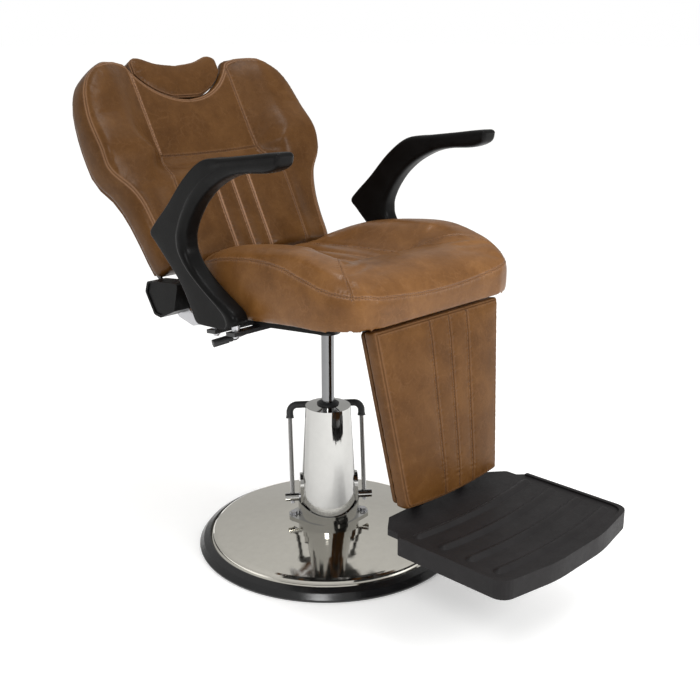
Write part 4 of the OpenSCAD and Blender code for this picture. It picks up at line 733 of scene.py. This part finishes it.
def leather(name, tone=1.0, shine=0.2):
    """Pulled-up leatherette: cloudy brown with faint lighter scuffs and veins, and a fine pebble grain."""
    n = Nodes(name)

    def hue(red, green, blue):
        return (red * tone, green * tone, blue * tone)

    cloud = n.noise(13, 5, 0.6, 0.5)
    base = n.ramp(cloud, [(0.30, hue(0.100, 0.040, 0.0085)), (0.50, hue(0.130, 0.0545, 0.0135)),
                          (0.70, hue(0.163, 0.072, 0.020))])
    fleck = n.noise(120, 6, 0.68, 1.2)
    base = n.mix(n.level(fleck, 0.54, 0.72, 0, 0.28), base, hue(0.225, 0.108, 0.04))
    base = n.mix(n.level(fleck, 0.45, 0.30, 0, 0.35), base, hue(0.070, 0.028, 0.006))
    drift = n.add("ShaderNodeTexNoise", {"Vector": n.place, "Scale": 30.0, "Detail": 4.0}).outputs["Color"]
    wander = n.add("ShaderNodeVectorMath", {0: drift, 1: (0.05, 0.05, 0.05)}, operation="MULTIPLY")
    strayed = n.add("ShaderNodeVectorMath", {0: n.place, 1: wander.outputs[0]}, operation="ADD")
    cells = {"Vector": strayed.outputs[0], "Scale": 34.0}
    vein = n.add("ShaderNodeTexVoronoi", cells, feature="DISTANCE_TO_EDGE").outputs["Distance"]
    patchy = n.math("MULTIPLY", n.level(vein, 0.0, 0.07, 0.3, 0), n.level(n.noise(21, 2), 0.45, 0.6))
    base = n.mix(patchy, base, hue(0.20, 0.095, 0.036))
    # Pale band beside the seams: partly worn leather, partly a painted highlight.
    base = n.mix(n.math("MULTIPLY", n.attribute("wear_and_highlight"), 0.55), base, (0.46, 0.265, 0.16))
    # Painted shade: the seam creases are darkened.
    base = n.mix(n.math("MULTIPLY", n.attribute("groove"), 0.5), base, (0.03, 0.0125, 0.005))
    pebbles = n.add("ShaderNodeTexVoronoi", {"Vector": n.place, "Scale": 760.0}, feature="SMOOTH_F1")
    grain = pebbles.outputs["Distance"]
    bump = n.bump(grain, 0.22, 0.0005)
    bump = n.bump(n.noise(150, 4, 0.6), 0.16, 0.001, bump)
    rough = n.level(n.noise(60, 5, 0.65), 0.3, 0.7, 0.30, 0.42)
    return n.set(base_color=base, roughness=rough, normal=bump, specular=shine, coat=shine * 0.2,
                 coat_roughness=0.2)


def moulded(name, colour, rough, grain=900.0, depth=0.0004, specular=0.5):
    """Moulded plastic or rubber with a spark texture and faint handling marks."""
    n = Nodes(name)
    tone = n.noise(24, 4, 0.6)
    base = n.mix(n.level(tone, 0.3, 0.75, 0.0, 0.5), colour, tuple(min(1, c * 1.5 + 0.004) for c in colour))
    texture = n.noise(grain, 3, 0.6)
    marks = n.noise(70, 6, 0.7, 1.2)
    bump = n.bump(texture, 0.35, depth)
    bump = n.bump(n.noise(38, 3), 0.12, 0.0015, bump)
    rough = n.level(marks, 0.35, 0.7, rough - 0.05, rough + 0.07)
    return n.set(base_color=base, roughness=rough, normal=bump, specular=specular)


def plated(name, colour, rough, wave=0.05, brushed=False):
    """Plated or bare metal, with a slight waviness and a haze of fine marks."""
    n = Nodes(name)
    haze = n.noise(55, 6, 0.65)
    base = n.mix(n.level(haze, 0.35, 0.75, 0.0, 0.35), colour, tuple(c * 0.86 for c in colour))
    place = n.place
    if brushed:
        place = n.add("ShaderNodeMapping", {"Vector": n.place, "Scale": (1.0, 1.0, 0.04)}).outputs[0]
    fine = n.noise(900 if brushed else 240, 3, 0.6, place=place)
    bump = n.bump(fine, 0.25 if brushed else 0.03, 0.0002)
    bump = n.bump(n.noise(11, 2, 0.4), wave, 0.004, bump)
    rough = n.level(haze, 0.3, 0.7, rough, rough + 0.05)
    return n.set(base_color=base, metallic=1.0, roughness=rough, normal=bump)


LOOKS = {
    # The seat, legrest and back leathers are one leatherette at three tones: the seat's a little brighter as
    # painted light, the legrest's and backrest's darker as painted shade.
    "leather": leather("tan_leatherette", 1.1, 0.24),
    "leg leather": leather("legrest_leatherette", 0.82, 0.13),
    "thread": moulded("thread", (0.055, 0.024, 0.012), 0.7, 1800.0, 0.0003),
    "back leather": leather("shaded_leatherette", 0.62, 0.12),
    "arm": moulded("satin_charcoal", (0.0032, 0.0030, 0.0030), 0.34, 1400.0, 0.00025, specular=0.09),
    "tread": moulded("matte_charcoal", (0.0115, 0.0104, 0.0108), 0.5, 420.0, 0.0007, specular=0.15),
    "gloss": moulded("gloss_black_rubber", (0.006, 0.006, 0.0065), 0.2, 500.0, 0.0002),
    "sleeve": moulded("soft_black_rubber", (0.018, 0.018, 0.019), 0.55, 1100.0, 0.0004),
    "chrome": plated("mirror_chrome", (0.50, 0.496, 0.48), 0.04, 0.05),
    "dish": plated("spun_chrome", (0.72, 0.695, 0.63), 0.045, 0.02),
    "dark steel": plated("dark_steel", (0.36, 0.355, 0.35), 0.18, 0.02),
    # Near black for the seat board: the underside is dark, and the board's edge below the cushion also stands
    # in for the shade there.
    "cloth": moulded("black_dust_cloth", (0.012, 0.012, 0.012), 0.85, 1500.0, 0.0005, specular=0.1),
    "rod": plated("ground_chrome", (0.215, 0.217, 0.222), 0.10, 0.02, True),
    "zinc": plated("zinc_plate", (0.52, 0.52, 0.54), 0.28, 0.02),
    "brass": plated("dull_brass", (0.62, 0.44, 0.2), 0.3, 0.02),
    "iron": moulded("grey_cast_iron", (0.09, 0.09, 0.095), 0.6, 240.0, 0.0009),
    "paint": moulded("black_frame_paint", (0.012, 0.012, 0.013), 0.38, 700.0, 0.0003),
}


# ---- Armrests ---------------------------------------------------------------

# Each row is a station along the arm, then Y and Z of its outer edge, then Y and Z of its inner edge.
ARM_KEYS = np.array([
    (0, -212, 968, -210, 957), (0.25, -207, 973.5, -204, 946), (0.6, -196, 974, -189, 938),
    (1, -170, 971, -166, 932), (2, -110, 962, -108, 926), (3, -40, 952, -57, 914), (4, 25, 941, -4, 888),
    (5, 85, 900, 38, 855), (6, 145, 838, 68, 818), (7, 190, 796, 84, 787), (8, 209, 772, 87, 766),
    (9, 190, 753, 82, 741), (10, 150, 717, 56, 710), (11, 110, 678, 4, 674), (12, 79, 632, -58, 642),
    (12.4, 67, 608, -69, 626), (12.7, 57, 599, -62, 613)], float)


def arm_skin(name, side):
    """A flat web on the outer side with a round rib along the inner edge, swept along the arm."""
    tip, end = 0.6, 12.4
    stations = np.concatenate([np.linspace(0, tip, 9)[:-1], np.linspace(tip, end, 104)[:-1],
                               np.linspace(end, 12.7, 6)])
    edge = np.stack([curve(stations, ARM_KEYS[:, [0, k]]) for k in range(1, 5)], -1)
    outer, run = edge[:, :2], edge[:, 2:] - edge[:, :2]
    width = np.linalg.norm(run, axis=1)
    ahead = run / width[:, None]
    half = ARM_W / 2
    rings = []
    for o, d, w, u in zip(outer, ahead, width, stations):
        rib = min(26.0, w * 0.62)
        web = half - 3.2 * float(smooth((w - 34) / 20))
        sag = 9 * float(smooth((u - 11) / 1.4))
        thin = 0.72 + 0.28 * float(smooth(u / 0.3)) if u < 0.3 else 1.0
        f = min(1.0, w / 32)
        out = [(0, half - 11), (0.6, half - 7.5), (2.6, half - 4.2), (6.5, web - 1.4), (12, web - 0.4)]
        out += [(w - rib - 9, web), (w - rib - 3, web), (w - rib - 0.5, web + 0.2), (w - rib + 3, half - 0.6)]
        out += [(w - rib * 0.62, half), (w - rib * 0.3, half - 1.6), (w - rib * 0.1, half - 6),
                (w - 0.4, half - 11.5), (w, half - 17)]
        back = [(w, -(half - 17)), (w - 0.4, -(half - 11.5)), (w - rib * 0.12, -(half - 5)),
                (w - rib * 0.35, -(half - 1)), (w * 0.5, -half), (13, -half), (6, -(half - 1)),
                (2, -(half - 4.5)), (0.4, -(half - 8)), (0, -(half - 13))]
        ring = []
        for k, (dist, x) in enumerate(out + back):
            dist = dist if dist > 13 or w > 60 else dist * f
            dist = min(max(dist, 0), w)
            if 4 < k < 14 and dist < w * 0.2:
                dist = w * (0.2 + 0.06 * (k - 5))
            q = o + d * min(dist * f if dist <= 13 and w < 60 else dist, w)
            s = sag * 4 * (dist / w) * (1 - dist / w)
            ring.append((side * (ARM_X + x * thin), q[0], q[1] - s))
        rings.append(ring)
    rings = np.array(rings)
    n, m = rings.shape[1], rings.shape[0]
    ids = np.arange(n * m).reshape(m, n)
    following = np.roll(ids, -1, 1)
    faces = quads(ids[:-1], following[:-1], following[1:], ids[1:])
    verts = rings.reshape(-1, 3)
    for row, flip in ((ids[0], True), (ids[-1], False)):
        centre, size = verts[row].mean(0), len(verts)
        inner = verts[row] * 0.5 + centre * 0.5
        bulge = (verts[row].mean(0) - rings[1 if flip else -2].mean(0)) * 0.12
        verts = np.concatenate([verts, inner + bulge, [centre + bulge * 1.3]])
        for k in range(n):
            a, b = row[k], row[(k + 1) % n]
            c, e = size + k, size + (k + 1) % n
            faces.append([a, c, e, b] if flip else [a, b, e, c])
            faces.append([c, size + n, e] if flip else [c, e, size + n])
    obj = new_object(name, verts * MM, faces)
    face_outward(obj)
    apply_modifier(obj, "SUBSURF", levels=1)
    return obj


# ---- Footplate --------------------------------------------------------------

def tread_rib(k):
    """One of the footplate's ribs, with soft flanks and rounded ends, over the plainer one of the CAD."""
    wide, high, sunk = 15.0, 6.8, 0.5
    s = np.linspace(-TREAD_HALF - wide, TREAD_HALF + wide, 120)[None, :]     # along the rib
    w = np.linspace(-wide, wide, 17)[:, None]                                # across it
    away = np.hypot(np.maximum(np.abs(s) - TREAD_HALF, 0), w) / wide
    turn, r = s / TREAD_R, TREAD_R + w
    x, y = r * np.sin(turn), TREAD_Y - k * TREAD_STEP + TREAD_R - r * np.cos(turn)
    front = stack(x, y, TREAD_Z - sunk + high * (1 - smooth(away)))
    return closed_form(f"footplate_rib_{k + 1}", front, [], stack(x, y, np.full(x.shape, TREAD_Z - 3.0)))


# ---- Dressing the chair -----------------------------------------------------

def dress(obj, look, slot, body, *nodes):
    obj.data.materials.clear()
    obj.data.materials.append(LOOKS[look])
    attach(obj, body)
    if nodes:
        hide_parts(*nodes)
    return obj


def cushion(skin, seams_of, body, node, look, slot, voxel, cap, held, seed, pucker=0.5):
    """One upholstered piece, from its skin to its stitches."""
    obj = skin()
    remesh(obj, voxel)
    seams = seams_of(obj)
    inflate(obj, seams, cap, held(coords(obj) / MM))
    apply_modifier(obj, "SUBSURF", levels=1)
    seams = seams_of(obj)
    refine(obj, seams, SEAM_REFINE)
    press(obj, seams, pucker=pucker, seed=seed)
    if any(s.rows for s in seams):
        thread = stitch(obj.name.replace("upholstery", "stitching"), obj, seams)
        dress(thread, "thread", slot, body)
    dress(obj, look, slot, body, node)
    return obj


def depth_in(p, angle, y0, z0):
    """How far points of the chair lie behind a leaning part's face."""
    return (p[:, 1] - y0) * math.cos(angle) - (p[:, 2] - z0) * math.sin(angle)


def back_depth(p):
    return depth_in(p, BACK_RAKE, BACK_FACE_Y, BACK_FACE_Z)


def leg_depth(p):
    return depth_in(p, LEG_SLANT, LEG_TOP_Y, LEG_TOP_Z)


cushion(seat_skin, seat_seams, "seat", "seat_cushion", "leather", "tan_leather", 5.0, 4.0,
        lambda p: p[:, 2] < seat_low(p[:, 1]) + 25, seed=0.4)
# The backrest and headrest take the same leatherette, darkened as painted shade.
cushion(back_skin, back_seams, "backrest", "back_cushion", "back leather", "brown_leather", 6.0, 2.0,
        lambda p: back_depth(p) > 8, seed=1.9)
cushion(head_skin, head_seams, "headrest", "headrest_pad", "back leather", "brown_leather", 3.0, 2.5,
        lambda p: back_depth(p) > 30, seed=3.1, pucker=0.3)
cushion(leg_skin, leg_seams, "legrest", "leg_pad", "leg leather", "tan_leather", 4.0, 3.0,
        lambda p: leg_depth(p) > 12, seed=4.2)
for name, side in (("right", -1), ("left", 1)):
    dress(arm_skin("armrest_shell_" + name, side), "arm", "arm_plastic", "seat", "armrest_" + name)

for k in range(TREAD_COUNT):
    dress(tread_rib(k), "tread", "foot_plastic", "legrest")

CAD_LOOKS = {
    "chrome": "pump_flange column_cover lever_hubs headrest_bar",
    "dish": "base_plate",
    "dark steel": "lever_bar",
    "gloss": "base_ring",
    "iron": "base_ballast piston_head",
    "zinc": "flange_bolts pump_body oil_tank lever_shaft lever_screws lever_cam pump_plunger mount_bolts "
            "thrust_washer leg_pin arm_spacers arm_bolts strut_rod back_bolts hinge_shaft guide_plate "
            "leg_bolts foot_bolts link_rod hinge_plate_right hinge_plate_left",
    "brass": "gland_nut",
    "rod": "piston_rod",
    "sleeve": "wiper_ring lever_sleeve piston_seal recline_grip",
    "paint": "seat_mount seat_frame leg_brackets arm_bars strut_cylinder handle_bracket recline_rod "
             "back_arm_right back_arm_left leg_frame",
    # The seat board is near black, partly as painted shade under the cushion's lower edge.
    "cloth": "seat_board",
    "back leather": "back_panel leg_board",
    "arm": "hinge_cover_right hinge_cover_left",
    "tread": "footplate",
}
for look, names in CAD_LOOKS.items():
    for name in names.split():
        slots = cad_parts[name].data.materials
        if not slots:
            slots.append(LOOKS[look])
        for i in range(len(slots)):
            slots[i] = LOOKS[look]


# ---- Floor, light and camera ------------------------------------------------

def build_stage():
    reach, level = 60, -0.0005      # metres; just under the base, so that the two faces don't fight
    floor = new_object("floor", [(-reach, -reach, level), (reach, -reach, level), (reach, reach, level),
                                 (-reach, reach, level)], [(0, 1, 2, 3)])
    material = bpy.data.materials.new("pale_floor")
    material.use_nodes = True
    shader = material.node_tree.nodes["Principled BSDF"]
    shader.inputs["Base Color"].default_value = (0.9, 0.9, 0.9, 1)
    shader.inputs["Roughness"].default_value = 0.9
    shader.inputs["Specular IOR Level"].default_value = 0.1
    shader.inputs["Emission Color"].default_value = (1, 1, 1, 1)
    shader.inputs["Emission Strength"].default_value = 0.26
    floor.data.materials.append(material)


def build_light():
    world = bpy.data.worlds.new("studio")
    bpy.context.scene.world = world
    world.use_nodes = True
    tree = world.node_tree
    tree.nodes.clear()
    add, link = tree.nodes.new, tree.links.new
    place = add("ShaderNodeTexCoord")
    split = add("ShaderNodeSeparateXYZ")
    link(place.outputs["Generated"], split.inputs[0])
    height = add("ShaderNodeValToRGB")
    steps = [(0.0, 0.8), (0.3, 0.8), (0.6, 0.92), (1.0, 1.15)]
    while len(height.color_ramp.elements) < len(steps):
        height.color_ramp.elements.new(0.5)
    for element, (at, value) in zip(height.color_ramp.elements, steps):
        element.position = at
        element.color = (value, value * 0.995, value * 0.98, 1)
    link(split.outputs["Z"], height.inputs["Fac"])
    room, backdrop = add("ShaderNodeBackground"), add("ShaderNodeBackground")
    link(height.outputs["Color"], room.inputs["Color"])
    room.inputs["Strength"].default_value = 0.9
    backdrop.inputs["Color"].default_value = (1, 1, 1, 1)
    backdrop.inputs["Strength"].default_value = 1.0
    path, mix, out = add("ShaderNodeLightPath"), add("ShaderNodeMixShader"), add("ShaderNodeOutputWorld")
    link(path.outputs["Is Camera Ray"], mix.inputs[0])
    mirrored, dim, dimmer = add("ShaderNodeBackground"), add("ShaderNodeMixShader"), 0.62
    link(height.outputs["Color"], mirrored.inputs["Color"])
    mirrored.inputs["Strength"].default_value = dimmer
    link(path.outputs["Is Glossy Ray"], dim.inputs[0])
    link(room.outputs[0], dim.inputs[1])
    link(mirrored.outputs[0], dim.inputs[2])
    link(dim.outputs[0], mix.inputs[1])
    link(backdrop.outputs[0], mix.inputs[2])
    link(mix.outputs[0], out.inputs[0])
    for name, place, size, power, aim in (
            ("key", (0.5, -2.6, 1.7), 1.0, 34, (0, -0.3, 0.5)),
            ("fill", (-2.3, -1.7, 2.6), 0.9, 30, (0, 0, 0.6)),
            ("top", (0.2, -0.3, 3.2), 1.0, 18, (0, 0, 0.6))):
        lamp = bpy.data.lights.new(name, "AREA")
        lamp.shape, lamp.size, lamp.energy = "DISK", size, power
        obj = bpy.data.objects.new(name, lamp)
        obj.location = place
        obj.rotation_euler = (Vector(aim) - Vector(place)).to_track_quat("-Z", "Y").to_euler()
        bpy.context.scene.collection.objects.link(obj)
    bpy.context.scene.view_settings.view_transform = "Standard"


def build_camera():
    place, heading, lens = (-1.6177, -1.6479, 1.1955), (0.6842, 0.6663, -0.2964), 53.56
    camera = bpy.data.cameras.new("camera")
    camera.sensor_fit, camera.sensor_width, camera.lens = "HORIZONTAL", 36.0, lens
    obj = bpy.data.objects.new("camera", camera)
    obj.location = place
    obj.rotation_euler = Vector(heading).to_track_quat("-Z", "Y").to_euler()
    bpy.context.scene.collection.objects.link(obj)
    bpy.context.scene.camera = obj


build_stage()
build_light()
build_camera()
